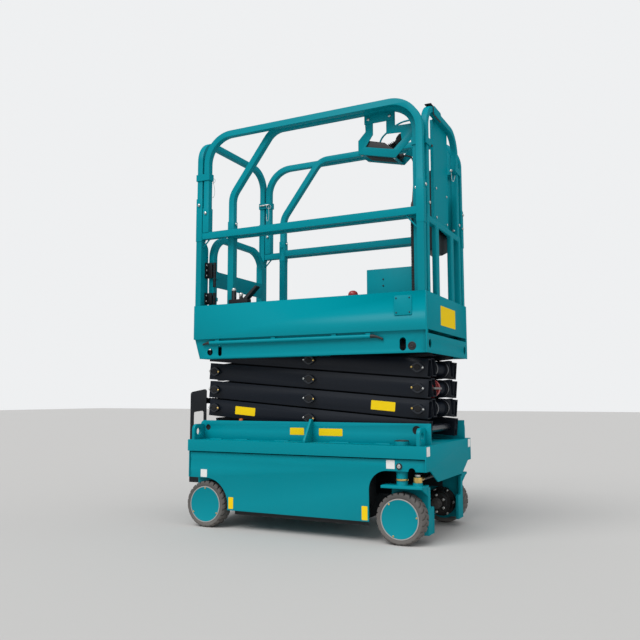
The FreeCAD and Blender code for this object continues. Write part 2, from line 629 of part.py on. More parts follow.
def yoke(side, sign):
    """Kingpin, top plate over the wheel, and a side plate inboard with a folded front flange."""
    centre = ("king_x", signed(sign, "king_y"))
    tie = ("tie_x", signed(sign, "king_y"))
    axle = ("front_axle_x", "wheel_radius")
    plate_out = "wheel_out - wheel_width - hub_gap"
    plate_in = plate_out + " - yoke_wall"
    under = "yoke_top - yoke_wall"
    side_plate = plate("yoke_side_" + side, "xz", [
        ("yoke_rear + 20", under), ("yoke_rear + 20", "90"), ("yoke_rear + 60", "yoke_low"),
        ("yoke_front", "yoke_low"), ("yoke_front", under)], side_span(sign, plate_in, plate_out))
    flange = plate("yoke_flange_" + side, "yz", [
        (signed(sign, plate_in), "yoke_low"), (signed(sign, "yoke_in"), "yoke_low"), (signed(sign, "yoke_in"), "150"),
        (signed(sign, "yoke_in + 8"), "158"), (signed(sign, "yoke_neck - 10"), "158"), (signed(sign, "yoke_neck"), "170"),
        (signed(sign, "yoke_neck"), under), (signed(sign, plate_in), under)],
        ("yoke_front - yoke_flange", "yoke_front"))
    web = plate("yoke_web_" + side, "yz", [
        (signed(sign, plate_out), under), (signed(sign, plate_out), under + " - 36"),
        (signed(sign, plate_out + " + 78"), under)], ("yoke_front - 12", "yoke_front - 2"))
    pieces = [
        rod("kingpin_" + side, "z", centre, (under, "ledge_top - 60"), "king_pin"),
        rod("collar_" + side, "z", centre, ("yoke_top", "yoke_top + 28"), "king_boss"),
        block("yoke_lid_" + side, ("yoke_rear", "yoke_front"), side_span(sign, plate_in, "wheel_out + 2"),
              (under, "yoke_top")),
        side_plate, flange, web,
        rod("stub_front_" + side, "y", axle, side_span(sign, plate_in, "wheel_out - 20"), "stub_radius"),
        rod("stub_face_" + side, "y", axle, side_span(sign, plate_in, plate_out + " + 4"), "44"),
        rod("tie_stand_" + side, "z", tie, (under, "tie_z - 13"), "22"),
        rod("tie_pin_" + side, "z", tie, (under, "tie_z + 16"), "tie_pin"),
    ]
    node(fuse("yoke_whole_" + side, pieces), "yoke_" + side)
    motor = [
        rod("motor_flange_" + side, "y", axle, side_span(sign, plate_in + " - 22", plate_in), "motor_radius"),
        rod("motor_drum_" + side, "y", axle, side_span(sign, plate_in + " - 62", plate_in), "60"),
        rod("motor_end_" + side, "y", axle, side_span(sign, plate_in + " - 100", plate_in), "52"),
    ]
    node(fuse("motor_whole_" + side, motor), "drive_motor_" + side)


def tie_rod():
    pieces = [rod("tie_bar", "y", ("tie_x", "tie_z"), ("15 - king_y", "king_y - 15"), "tie_radius")]
    holes = []
    for side, sign in SIDES:
        centre = ("tie_x", signed(sign, "king_y"))
        pieces.append(rod("tie_eye_" + side, "z", centre, ("tie_z - 12", "tie_z + 12"), "tie_eye"))
        holes.append(rod("tie_hole_" + side, "z", centre, ("tie_z - 20", "tie_z + 20"), "tie_pin + run_gap"))
    node(cut("tie_whole", fuse("tie_solid", pieces), holes), "tie_rod")


def side_door(side, sign):
    """Swing-out panel whose lower edge follows both wheel arches."""
    span = side_span(sign, "door_out - door_wall", "door_out")
    wide = side_span(sign, "door_out - 20", "door_out + 20")
    panel = plate("door_panel_" + side, "xz", [
        ("door_rear", "door_low"), ("bay_front + 35", "door_low"), ("door_front", "door_low"),
        ("door_front", "door_top"), ("door_rear", "door_top")], span)
    corner = ("bay_front + 35 + front_arch", "door_lip - front_arch")
    tools = [
        rod("arch_rear_" + side, "y", ("rear_axle_x", "wheel_radius"), wide, "rear_arch"),
        block("heel_" + side, ("door_rear - 5", "rear_axle_x"), wide, ("door_low - 5", "door_heel")),
        rod("arch_front_" + side, "y", corner, wide, "front_arch"),
        block("arch_fore_" + side, ("bay_front + 35 + front_arch", "door_front + 5"), wide, ("door_low - 5", "door_lip")),
        block("arch_low_" + side, ("bay_front + 35", "door_front + 5"), wide, ("door_low - 5", "door_lip - front_arch")),
        rod("door_notch_" + side, "y", ("629", "door_lip"), wide, "17"),
    ]
    panel = cut("door_cut_" + side, panel, tools)
    knuckles = []
    for index, (low, high) in enumerate((("262", "292"), ("338", "368"))):
        knuckles.append(rod("door_knuckle_%s_%d" % (side, index), "z", ("door_hinge_x", signed(sign, "door_out - door_wall / 2")),
                            (low, high), "4.5"))
    lock = rod("door_lock_" + side, "y", ("lock_x", "lock_z"), side_span(sign, "door_out - 1", "door_out + 6"), "9")
    node(fuse("door_" + side, [panel, lock] + knuckles), "side_door_" + side)


def arm_pair(level, kind):
    """Two hollow arms of one level with the shafts or cross tubes that join them."""
    sign = 1 if kind == "outer" else -1
    out = kind + "_out"
    tag = "%s_%d" % (kind, level)
    low, mid, high = "-arm_span / 2", "0", "arm_span / 2"
    pieces = []
    bores = []
    for side, s in SIDES:
        tube = block("arm_%s_%s" % (tag, side), (low + " - arm_over", high + " + arm_over"),
                     side_span(s, out + " - arm_wide", out), ("-arm_high / 2", "arm_high / 2"))
        hollow = block("hollow_%s_%s" % (tag, side), (low + " - arm_over - 5", high + " + arm_over + 5"),
                       side_span(s, out + " - arm_wide + arm_wall", out + " - arm_wall"),
                       ("arm_wall - arm_high / 2", "arm_high / 2 - arm_wall"))
        pieces.append(cut("arm_tube_%s_%s" % (tag, side), tube, [hollow]))
    if kind == "outer":
        pieces += outer_pins(tag, level, low, high)
        if level == 1:
            for side, s in SIDES:
                pieces.append(rod("base_bush_" + side, "y", (high, mid), side_span(s, "outer_out - arm_wide", "outer_out"),
                                  "arm_high / 2"))
            bores.append(rod("base_bore", "y", (high, mid), ("-300", "300"), "shaft_radius + run_gap"))
    else:
        pieces.append(rod("front_tube_" + tag, "y", (high, mid), ("-inner_out", "inner_out"), "bush_radius"))
        pieces.append(rod("rear_tube_" + tag, "y", (low, mid), ("-inner_out", "inner_out"), "bush_radius"))
        bores.append(rod("front_bore_" + tag, "y", (high, mid), ("-300", "300"), "shaft_radius + run_gap"))
        if level == 1:
            pieces += sliding_end(tag, low)
        else:
            bores.append(rod("rear_bore_" + tag, "y", (low, mid), ("-300", "300"), "shaft_radius + run_gap"))
        for side, s in SIDES:
            pieces.append(rod("centre_bush_%s_%s" % (tag, side), "y", (mid, mid),
                              side_span(s, "inner_out - arm_wide", "inner_out"), "bush_radius"))
            bores.append(rod("centre_bore_%s_%s" % (tag, side), "y", (mid, mid), side_span(s, "100", "300"),
                             "shaft_radius + run_gap"))
            pieces.append(rod("spool_%s_%s" % (tag, side), "y", (high, mid), side_span(s, "84", "96"), "spool_radius"))
    if kind == "inner" and level in (1, 3):
        pieces += ram_seats(level, high)
    whole = fuse("pair_" + tag, pieces)
    if bores:
        whole = cut("pair_bored_" + tag, whole, bores)
    # The pair is drawn level about its centre, then leant by the rest angle.
    rise = "(%d * arm_span / 2) * sin(rest_angle * 1 deg)" % (2 * level - 1)
    whole.Placement = Placement(Vector(), Rotation(Vector(0, 1, 0), sign * size("rest_angle")))
    bound(whole, "Placement.Base.x", "pin_x - arm_span / 2 * cos(rest_angle * 1 deg)")
    bound(whole, "Placement.Base.z", "pin_z + " + rise)
    node(whole, "%s_arms_%d" % (kind, level))


def ram_seats(level, high):
    """Lower lugs and pin of the lift cylinder, or the cross tube that ends on both sides of its rod's eye."""
    if level == 3:
        return [rod("ram_seat_" + side, "y", ("ram_head", "0"), side_span(s, "ram_gap", "inner_out - arm_wide + 1"), "28")
                for side, s in SIDES]
    pieces = [rod("ram_foot_pin", "y", ("ram_foot", "0"), ("-60", "60"), "ram_pin")]
    for side, s in SIDES:
        pieces.append(rod("ram_lug_round_" + side, "y", ("ram_foot", "0"), side_span(s, "46", "56"), "24"))
        pieces.append(block("ram_lug_" + side, ("ram_foot", high), side_span(s, "46", "56"), ("-24", "24")))
    return pieces


def lift_cylinder():
    """Barrel and rod, drawn along X from the lower pin, then leant into the stowed stack."""
    centre = ("0", "0")
    barrel = cut("barrel_bored", fuse("barrel_solid", [
        rod("barrel_eye", "y", centre, ("-42", "42"), "ram_eye"),
        block("barrel_neck", ("0", "94"), ("-30", "30"), ("-16", "16")),
        rod("barrel_tube", "x", centre, ("92", "751"), "ram_barrel"),
        rod("barrel_gland", "x", centre, ("729", "759"), "ram_barrel + 3"),
    ]), [
        rod("barrel_pin_bore", "y", centre, ("-60", "60"), "ram_pin + run_gap"),
        rod("barrel_bore", "x", centre, ("280", "770"), "ram_rod + run_gap"),
    ])
    head = ("ram_length", "0")
    piston = fuse("piston", [
        rod("piston_shaft", "x", centre, ("300", "ram_length - 20"), "ram_rod"),
        rod("piston_eye", "y", head, ("5 - ram_gap", "ram_gap - 5"), "ram_eye"),
        rod("piston_pin", "y", head, ("1 - ram_gap", "ram_gap - 1"), "ram_pin"),
    ])
    for piece in (barrel, piston):
        piece.Placement = Placement(Vector(), Rotation(Vector(0, 1, 0), size("ram_angle")))
        bound(piece, "Placement.Base.x", "pin_x + (ram_foot - arm_span / 2) * cos(rest_angle * 1 deg)")
        bound(piece, "Placement.Base.z", "pin_z + (ram_foot + arm_span / 2) * sin(rest_angle * 1 deg)")
    node(barrel, "lift_barrel")
    node(piston, "lift_rod")


def sliding_end(tag, along):
    """Shaft with a roller at each end."""
    pieces = [rod("slide_shaft_" + tag, "y", (along, "0"), ("-roller_out", "roller_out"), "shaft_radius")]
    for side, s in SIDES:
        pieces.append(rod("roller_%s_%s" % (tag, side), "y", (along, "0"), side_span(s, "outer_out + 4", "roller_out"),
                          "roller_radius"))
    return pieces


def pin_heads(tag, along):
    """Round heads outside the outer arms."""
    pieces = []
    for side, s in SIDES:
        pieces.append(rod("head_%s_%s" % (tag, side), "y", (along, "0"), side_span(s, "outer_out", "head_out"), "head_radius"))
    return pieces


def outer_pins(tag, level, low, high):
    """Centre stubs and end shafts of an outer pair; the middle of the stack stays free."""
    pieces = pin_heads("centre_" + tag, "0")
    for side, s in SIDES:
        pieces.append(rod("centre_pin_%s_%s" % (tag, side), "y", ("0", "0"),
                          side_span(s, "inner_out - arm_wide - 4", "outer_out"), "shaft_radius"))
    if level == 4:
        pieces += sliding_end(tag, low)
        for side, s in SIDES:
            pieces.append(rod("slide_tip_" + side, "y", (low, "0"), side_span(s, "roller_out - 2", "tip_out"), "tip_radius"))
    else:
        pieces.append(rod("rear_shaft_" + tag, "y", (low, "0"), ("-outer_out", "outer_out"), "shaft_radius"))
        pieces += pin_heads("rear_" + tag, low)
    if level > 1:
        pieces.append(rod("front_shaft_" + tag, "y", (high, "0"), ("-outer_out", "outer_out"), "shaft_radius"))
        pieces += pin_heads("front_" + tag, high)
    return pieces


def red_ring():
    """Painted ring on the front cross tube of the second level."""
    height = "pin_z + 2 * arm_span * sin(rest_angle * 1 deg)"
    ring = rod("ring_disc", "y", ("pin_x", height), ("-74", "-54"), "ring_radius")
    hole = rod("ring_hole", "y", ("pin_x", height), ("-90", "-40"), "bush_radius + run_gap")
    node(cut("ring_cut", ring, [hole]), "red_ring")


# Openings in the near and far lower skirts: name, along, height, half width, half height
SKIRT_SLOTS = (("fore", "582", "904", "16", "31"), ("aft", "-436", "903", "12", "28"))


def side_skirt(side, sign):
    """Folded side sheet: recessed lower part, step, and upper part up to the toe board's height."""
    sheet_side = plate("skirt_" + side, "yz", [
        (signed(sign, "deck_half"), "toe_top"), (signed(sign, "deck_half"), "skirt_top"),
        (signed(sign, "skirt_half"), "skirt_top"), (signed(sign, "skirt_half"), "skirt_low"),
        (signed(sign, "skirt_half - deck_wall"), "skirt_low"), (signed(sign, "skirt_half - deck_wall"), "skirt_top + deck_wall"),
        (signed(sign, "deck_half - skirt_wall"), "skirt_top + deck_wall"), (signed(sign, "deck_half - skirt_wall"), "toe_top")],
        ("deck_rear", "deck_front - deck_wall"))
    across = side_span(sign, "skirt_half - 30", "skirt_half + 30")
    tools = [
        plate("slant_" + side, "xz", [
            ("deck_rear - 5", "skirt_top"), ("deck_rear", "skirt_top"),
            ("deck_rear + skirt_slant", "skirt_low"), ("deck_rear + skirt_slant", "skirt_low - 5"),
            ("deck_rear - 5", "skirt_low - 5")], across),
        rod("skirt_hub_" + side, "y", ("pin_x", "deck_pin_z"), across, "shaft_radius"),
        rod("skirt_round_" + side, "y", ("-499", "897"), across, "18"),
    ]
    for name, along, height, half_wide, half_high in SKIRT_SLOTS:
        tag = "%s_%s" % (name, side)
        ends = "%s - %s" % (half_high, half_wide)
        tools.append(block("slot_" + tag, ("%s - %s" % (along, half_wide), "%s + %s" % (along, half_wide)), across,
                           ("%s - (%s)" % (height, ends), "%s + (%s)" % (height, ends))))
        tools.append(rod("slot_top_" + tag, "y", (along, "%s + (%s)" % (height, ends)), across, half_wide))
        tools.append(rod("slot_low_" + tag, "y", (along, "%s - (%s)" % (height, ends)), across, half_wide))
    return cut("skirt_cut_" + side, sheet_side, tools)


def deck_frame():
    front = block("front_plate_low", ("deck_front - deck_wall", "deck_front"), ("-deck_half", "deck_half"),
                  ("skirt_low", "lip_top"))
    eyes = []
    pieces = [
        block("deck_floor", ("deck_rear", "deck_front - 12"), ("skirt_wall - deck_half", "deck_half - skirt_wall"),
              ("floor_top - deck_wall", "floor_top")),
        block("deck_back", ("-580", "-575"), ("deck_wall - skirt_half", "skirt_half - deck_wall"), ("948", "floor_top - deck_wall")),
        rod("deck_shaft", "y", ("pin_x", "deck_pin_z"), ("deck_wall - skirt_half", "skirt_half - deck_wall"), "shaft_radius"),
    ]
    for side, sign in SIDES:
        eyes.append(rod("front_eye_" + side, "x", (signed(sign, "297"), "905"), ("deck_front - 20", "deck_front + 20"), "21"))
        pieces.append(side_skirt(side, sign))
        pieces.append(block("front_corner_" + side, ("deck_front - deck_wall", "deck_front"),
                            side_span(sign, "toe_half + 1", "deck_half"), ("lip_top", "toe_top")))
        track = side_span(sign, "head_out + 4", "skirt_half - deck_wall")
        pieces.append(block("track_top_" + side, ("deck_rear + 40", "180"), track, ("924", "930")))
        pieces.append(block("track_low_" + side, ("deck_rear + 40", "180"), track, ("skirt_low", "skirt_low + 5")))
    pieces.append(cut("front_drilled", front, eyes))
    pieces.append(plate("skirt_cover", "xz", [("547", "1037"), ("634", "1037"), ("634", "1129"), ("547", "1129")],
                        ("-deck_half - 3", "-deck_half"), [(0, "6"), (1, "6"), (2, "6"), (3, "6")]))
    node(group("deck_plates", pieces), "deck_frame")


def socket(name, along, side_y, low, high, window):
    """Square fold socket on a post, with a window low on its inner side."""
    shell = block(name + "_shell", (along + " - socket_half", along + " + socket_half"),
                  ("%s - socket_half" % side_y, "%s + socket_half" % side_y), (low, high))
    if not window:
        return shell
    inner = ("0", "%s - 8" % side_y) if number(side_y) > 0 else ("%s + 8" % side_y, "0")
    gap = block(name + "_gap", (along + " - 11", along + " + 11"), inner, ("%s + 14" % low, "%s + 14 + %s" % (low, window)))
    return cut(name + "_cut", shell, [gap])


def side_rail(side, sign):
    """Main side rail: bent top tube, mid rail, lower front post and the fold sockets."""
    y = signed(sign, "rail_y")
    hoop = bent_tube("rail_hoop_" + side, "xz", y, [
        ("post_rear", "mid_top"), ("post_rear", "rail_top"), ("post_front", "rail_top"), ("post_front", "mid_low - 40")],
        ["side_bend", "side_bend"], "tube_half")
    pieces = [
        hoop,
        block("rail_mid_" + side, ("back_x + socket_half", "post_front"),
              side_span(sign, "rail_y - tube_half", "rail_y + tube_half"), ("mid_low", "mid_top")),
        block("rail_post_" + side, ("post_front - post_half", "post_front + post_half - 2"),
              side_span(sign, "post_y - post_half", "post_y + post_half"), ("floor_top", "mid_low - 40")),
        socket("rail_socket_rear_" + side, "post_rear", y, "mid_top", "1680", None),
        block("rail_socket_front_" + side, ("post_front - socket_half", "post_front + socket_half"),
              side_span(sign, "rail_y - socket_half", "rail_y + socket_half - 2"), ("mid_low - 40", "1676")),
    ]
    inner = side_span(sign, "rail_y - 3", "rail_y + 3")
    pieces.append(plate("rail_brace_" + side, "xz", [
        ("post_front - post_half + 2", "mid_low - 62"), ("post_front - post_half + 2", "mid_low - 72"),
        ("post_front - post_half - 62", "mid_low + 2"), ("post_front - post_half - 52", "mid_low + 2")], inner))
    node(fuse("rail_" + side, pieces), "side_rail_" + side)


def rear_rail():
    """Rear end frame: bent top tube, sockets and deep lower posts, tied to the side rails by a band."""
    y = "rail_y"
    pieces = [bent_tube("back_hoop", "yz", "back_x", [
        ("-" + y, "back_post_top"), ("-" + y, "back_top"), (y, "back_top"), (y, "back_post_top")],
        ["end_bend", "end_bend"], "tube_half")]
    for side, sign in SIDES:
        pieces.append(plate("back_post_" + side, "yz", [
            (signed(sign, "back_post_in"), "floor_top"), (signed(sign, "deck_half - skirt_wall"), "floor_top"),
            (signed(sign, "deck_half - skirt_wall"), "back_post_top"), (signed(sign, "back_post_in"), "back_post_top")],
            ("back_x - post_half", "back_x + tube_half"), [(3, "45")]))
        pieces.append(socket("back_socket_" + side, "back_x", signed(sign, "rail_y"), "back_post_top", "1737", "170"))
    node(fuse("back_whole", pieces), "rear_rail")
    bands = []
    for side, sign in SIDES:
        outer = block("band_out_" + side, ("back_x - tube_half - 5", "post_rear + tube_half + 5"),
                      side_span(sign, "rail_y - tube_half - 5", "rail_y + tube_half + 5"), ("1836", "1872"))
        inner = block("band_in_" + side, ("back_x - tube_half", "post_rear + tube_half"),
                      side_span(sign, "rail_y - tube_half", "rail_y + tube_half"), ("1830", "1880"))
        bands.append(cut("band_" + side, outer, [inner]))
    node(group("rail_bands", bands), "rear_rail_bands")


# Gate hinge pairs: bottom and top
HINGES = (("1156", "1222"), ("1254", "1388"))


def gate():
    hoop = bent_tube("gate_hoop", "yz", "gate_x", [
        ("gate_near", "gate_foot"), ("gate_near", "gate_top"), ("gate_far", "gate_top"), ("gate_far", "gate_foot")],
        ["end_bend", "end_bend"], "tube_half")
    between = ("gate_near + tube_half", "gate_far - tube_half")
    pieces = [
        hoop,
        block("gate_panel", ("gate_x + tube_half - 5", "gate_x + tube_half"), between, ("1256", "1344")),
        block("gate_toe", ("gate_x + tube_half - 5", "gate_x + tube_half"), between, ("gate_foot", "toe_top")),
    ]
    for index, (low, high) in enumerate(HINGES):
        third = "(%s - %s) / 3" % (high, low)
        span = ("%s + %s + 1" % (low, third), "%s - %s - 1" % (high, third))
        ear = block("gate_ear_%d" % index, ("gate_x + tube_half", "gate_pin_x + 3"), ("gate_pin_y", "gate_near + 8"), span)
        barrel = rod("gate_knuckle_%d" % index, "z", ("gate_pin_x", "gate_pin_y"), span, "8")
        bore = rod("gate_bore_%d" % index, "z", ("gate_pin_x", "gate_pin_y"), (low, high), "5 + run_gap")
        pieces.append(cut("gate_leaf_%d" % index, fuse("gate_leaf_solid_%d" % index, [ear, barrel]), [bore]))
    node(fuse("gate_whole", pieces), "gate")
    fixed = []
    for index, (low, high) in enumerate(HINGES):
        third = "(%s - %s) / 3" % (high, low)
        parts = [
            block("leaf_%d" % index, ("back_x + tube_half", "back_x + tube_half + 6"), ("-322", "-286"), (low, high)),
            rod("pin_%d" % index, "z", ("gate_pin_x", "gate_pin_y"), (low, high), "5"),
        ]
        for end, span in (("low", (low, "%s + %s" % (low, third))), ("high", ("%s - %s" % (high, third), high))):
            parts.append(rod("knuckle_%s_%d" % (end, index), "z", ("gate_pin_x", "gate_pin_y"), span, "8"))
            parts.append(block("arm_%s_%d" % (end, index), ("back_x + tube_half", "gate_pin_x"), ("-294", "-286"), span))
        fixed.append(fuse("hinge_%d" % index, parts))
    node(group("hinges", fixed), "gate_hinges")
    catch = block("latch_body", ("back_x + tube_half", "gate_x + 4"), ("262", "back_post_in"), ("1369", "1437"))
    node(catch, "gate_latch")


def extension_floor():
    pieces = [block("slide_plate", ("slide_rear", "deck_front - deck_wall"), ("-slide_half", "slide_half"),
                    ("slide_low", "slide_top"))]
    for side, sign in SIDES:
        y = side_span(sign, "slide_rail_y - 4", "slide_rail_y + 4")
        heel = "slide_post + post_half"
        pieces.append(plate("foot_" + side, "xz", [
            (heel, "slide_top"), (heel + " + 46", "slide_top"), (heel + " + 46", "toe_top - 20"),
            (heel + " + 22", "toe_top + 18"), (heel, "toe_top + 18")], y))
    node(group("slide_floor", pieces), "extension_floor")
    node(block("slide_toe", ("deck_front - deck_wall", "deck_front"), ("-toe_half", "toe_half"), ("970", "toe_top")),
         "extension_toe_board")


def extension_rail(side, sign):
    y = signed(sign, "slide_rail_y")
    hoop = bent_tube("slide_hoop_" + side, "xz", y, [
        ("slide_post", "mid_low"), ("slide_post", "knee_z"), ("knee_x", "rail_top"),
        ("slide_front", "rail_top"), ("slide_front", "slide_top")],
        ["knee_bend", "knee_bend", "side_bend"], "tube_half")
    pieces = [
        hoop,
        block("slide_mid_" + side, ("slide_post", "slide_front"),
              side_span(sign, "slide_rail_y - tube_half", "slide_rail_y + tube_half"), ("mid_low", "mid_top")),
        block("slide_post_" + side, ("slide_post - post_half", "slide_post + post_half"),
              side_span(sign, "slide_rail_y - post_half", "slide_rail_y + post_half"), ("slide_top", "mid_low")),
        socket("slide_socket_" + side, "slide_post", y, "1480", "1602", "70"),
    ]
    node(fuse("slide_whole_" + side, pieces), "extension_rail_" + side)


def front_rail():
    """Front end frame of the extension with its cross rail, bars and sheet panel."""
    pieces = [bent_tube("nose_hoop", "yz", "nose_x", [
        ("-nose_y", "nose_mid"), ("-nose_y", "rail_top"), ("nose_y", "rail_top"), ("nose_y", "nose_mid")],
        ["nose_bend", "nose_bend"], "tube_half")]
    through = ("nose_x - tube_half", "nose_x + tube_half")
    edge = "nose_low_y + tube_half"
    pieces.append(block("nose_cross", through, ("-(%s)" % edge, edge), ("nose_mid", "nose_mid + 2 * tube_half")))
    for side, sign in SIDES:
        pieces.append(block("nose_post_" + side, through, side_span(sign, "nose_low_y - tube_half", edge),
                            ("slide_top", "nose_mid")))
        pieces.append(block("nose_bar_" + side, ("nose_x - tube_half / 2", "nose_x + tube_half"),
                            side_span(sign, "nose_bar_y - nose_bar", "nose_bar_y + nose_bar"), ("slide_top", "nose_mid")))
    node(fuse("nose_whole", pieces), "extension_front_rail")
    back = "nose_x - tube_half"
    node(plate("nose_sheet", "xy", [
        (back + " - 12", "sheet_near"), (back + " + 3", "sheet_near"), (back + " + 3", "sheet_far"),
        (back + " - 12", "sheet_far"), (back + " - 12", "sheet_far - 3"), (back, "sheet_far - 3"),
        (back, "sheet_near + 3"), (back + " - 12", "sheet_near + 3")],
        ("nose_mid + 2 * tube_half", "rail_top - tube_half - 3")), "front_sheet")
    node(plate("manual_case", "yz", [
        ("manual_near", "manual_low"), ("manual_far - 96", "manual_low"), ("manual_far - 12", "manual_low + 28"),
        ("manual_far", "manual_low + 44"), ("manual_far", "manual_high"), ("manual_near", "manual_high")],
        ("manual_rear", "manual_front"), [(4, "20"), (5, "20")]), "manual_box")
    bands = []
    for side, sign in SIDES:
        outer = block("nose_band_out_" + side, ("slide_front - tube_half - 5", "nose_x + tube_half + 5"),
                      side_span(sign, "nose_y - tube_half - 5", "slide_rail_y + tube_half + 5"), ("nose_band", "nose_band + 36"))
        inner = block("nose_band_in_" + side, ("slide_front - tube_half", "nose_x + tube_half"),
                      side_span(sign, "nose_y - tube_half", "slide_rail_y + tube_half"), ("nose_band - 10", "nose_band + 46"))
        tab = block("nose_tab_" + side, ("nose_x + tube_half", "nose_x + tube_half + 5"),
                    side_span(sign, "nose_y - tube_half - 42", "nose_y"), ("nose_band + 2", "nose_band + 34"))
        bands.append(fuse("nose_clasp_" + side, [cut("nose_band_" + side, outer, [inner]), tab]))
    node(group("nose_bands", bands), "front_rail_bands")


def control_station():
    """Bracket hung inside the near top rail, with its tilted tray, black box, joystick and hoop."""
    hanger = block("hanger", ("369", "525"), ("control_y - 5", "control_y"), ("2018", "rail_top + tube_half"))
    near = plate("bracket_near", "xz", [
        ("369", "2062"), ("413", "2062"), ("413", "1961"), ("373", "1904"), ("521", "1870"), ("564", "1910"),
        ("559", "1948"), ("484", "1953"), ("484", "2062"), ("530", "2062"), ("530", "1987"), ("648", "1984"),
        ("648", "1905"), ("615", "1907"), ("561", "1856"), ("531", "1826"), ("333", "1873"), ("333", "1941"),
        ("373", "1982")][::-1], ("control_y", "control_y + 4"))
    tray = plate("tray_sheet", "xz", [("333", "1873"), ("531", "1826"), ("531", "1830"), ("333", "1877")],
                 ("control_y + 4", "-130"))
    opening = block("tray_slot", ("400", "500"), ("-234", "-156"), ("1800", "1900"))
    far = plate("bracket_far", "xz", [
        ("333", "1873"), ("531", "1826"), ("648", "1930"), ("648", "1962"), ("615", "1952"), ("521", "1870"),
        ("333", "1914")], ("-130", "-126"))
    node(fuse("bracket", [hanger, near, cut("tray_open", tray, [opening]), far]), "control_bracket")
    case = plate("control_case", "xz", [
        ("338", "1876.2"), ("516", "1834"), ("530", "1866"), ("470", "1914"), ("385", "1938"), ("338", "1926")],
        ("-252", "-134"))
    node(case, "control_box")
    lean = Rotation(Vector(0, 1, 0), 20)
    bellows = doc.addObject("Part::Cone", "bellows")
    bellows.Radius1 = 27
    bellows.Radius2 = 13
    bellows.Height = 44
    bellows.Placement = Placement(Vector(488, -190, 1880), lean)
    grip = doc.addObject("Part::Cylinder", "grip")
    grip.Radius = 15
    grip.Height = 56
    grip.Placement = Placement(Vector(488, -190, 1880) + lean.multVec(Vector(0, 0, 40)), lean)
    stick = cut("stick", fuse("stick_solid", [bellows, grip]), [case])
    node(stick, "joystick")
    node(cut("outlet", rod("outlet_solid", "x", ("-192", "1852"), ("510", "548"), "12"), [case]), "cable_plug")


def accessories():
    node(block("outlet_case", ("355", "594"), ("-215", "-95"), ("slide_top", "1288")), "accessory_box")
    dome_centre = ("287", "-230")
    node(fuse("dome_whole", [
        rod("dome_stand", "z", dome_centre, ("slide_top", "1164"), "17"),
        rod("dome_cap", "z", dome_centre, ("1160", "1186"), "23")]), "warning_dome")
    conduit = ("conduit_x", "conduit_y")
    node(fuse("conduit_whole", [
        rod("conduit_hose", "z", conduit, ("slide_top", "1562"), "12"),
        rod("conduit_gland", "z", conduit, ("1562", "1596"), "10"),
        block("conduit_clip", ("conduit_x - 14", "conduit_x + 14"), ("control_y - 5", "conduit_y"), ("1518", "1536"))]),
        "corrugated_conduit")
    pedal = [
        block("pedal_foot", ("-378", "-262"), ("-344", "-306"), ("toe_top", "toe_top + 22")),
        rod("pedal_post_a", "z", ("-357", "-325"), ("toe_top + 20", "1216"), "12"),
        rod("pedal_post_b", "z", ("-312", "-325"), ("toe_top + 20", "1184"), "10"),
        plate("pedal_plate", "xz", [("-296", "toe_top + 20"), ("-270", "toe_top + 20"), ("-206", "1228"), ("-216", "1236")],
              ("-343", "-307")),
    ]
    node(fuse("pedal_whole", pedal), "foot_pedal")
    rail_tube = [rod("duct_run", "x", ("-343", "945"), ("-493", "425"), "9.5")]
    for index, along in enumerate(("-460", "-120", "220", "400")):
        rail_tube.append(block("duct_tab_%d" % index, (along, along + " + 24"), ("-343", "-skirt_half"), ("940", "962")))
    node(fuse("duct", rail_tube), "side_duct")


# Control cable from the box to the conduit: X, Y, Z
CABLE_ROUTE = (
    (548, -192, 1852),
    (586, -198, 1846),
    (610, -214, 1806),
    (618, -232, 1742),
    (618, -246, 1672),
    (613, -250, 1596),
)

chassis_frame()
kingpin_bosses()
pothole_guards()
ladder()
energy_bay()
rear_axle()
for side, sign in SIDES:
    wheel("rear", side, sign, "rear_axle_x")
    wheel("front", side, sign, "front_axle_x")
    yoke(side, sign)
    side_door(side, sign)
    side_rail(side, sign)
    extension_rail(side, sign)
tie_rod()
for level in (1, 2, 3, 4):
    arm_pair(level, "outer")
    arm_pair(level, "inner")
red_ring()
lift_cylinder()
deck_frame()
rear_rail()
gate()
extension_floor()
front_rail()
control_station()
accessories()
node(free_cord("cable_tube", CABLE_ROUTE, size("cable_radius")), "control_cable")

doc.recompute()
for thing in doc.Objects:
    if "Invalid" in thing.State or "Error" in thing.State:
        raise RuntimeError("%s is %s" % (thing.Label, thing.State))
for piece in NODES:
    if piece.Shape.isNull() or not piece.Shape.isValid():
        raise RuntimeError("bad shape in " + piece.Label)

os.makedirs("parts", exist_ok=True)
for piece in NODES:
    piece.Shape.exportStep("parts/%s.step" % piece.Label)
    print(piece.Label, len(piece.Shape.Solids), round(piece.Shape.Volume / 1e6, 2))
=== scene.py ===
import json
import math

import bpy
from mathutils import Matrix, Vector


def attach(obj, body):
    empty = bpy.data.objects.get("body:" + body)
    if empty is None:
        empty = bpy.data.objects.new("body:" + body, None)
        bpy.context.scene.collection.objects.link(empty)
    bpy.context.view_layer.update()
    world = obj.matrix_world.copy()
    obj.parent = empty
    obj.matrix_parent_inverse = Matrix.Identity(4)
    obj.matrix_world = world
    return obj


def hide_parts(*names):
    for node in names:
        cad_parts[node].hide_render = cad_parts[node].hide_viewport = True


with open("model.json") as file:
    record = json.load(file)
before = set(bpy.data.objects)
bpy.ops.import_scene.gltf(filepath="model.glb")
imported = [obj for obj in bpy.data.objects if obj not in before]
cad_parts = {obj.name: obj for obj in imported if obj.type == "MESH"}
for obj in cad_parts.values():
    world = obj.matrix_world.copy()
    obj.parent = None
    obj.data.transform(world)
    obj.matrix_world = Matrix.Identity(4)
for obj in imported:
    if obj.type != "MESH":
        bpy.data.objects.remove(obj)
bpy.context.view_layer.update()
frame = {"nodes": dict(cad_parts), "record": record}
nodes = frame["nodes"]
bodyOf = {n: b for b, names in frame["record"]["behaviour"]["bodies"].items() for n in names}
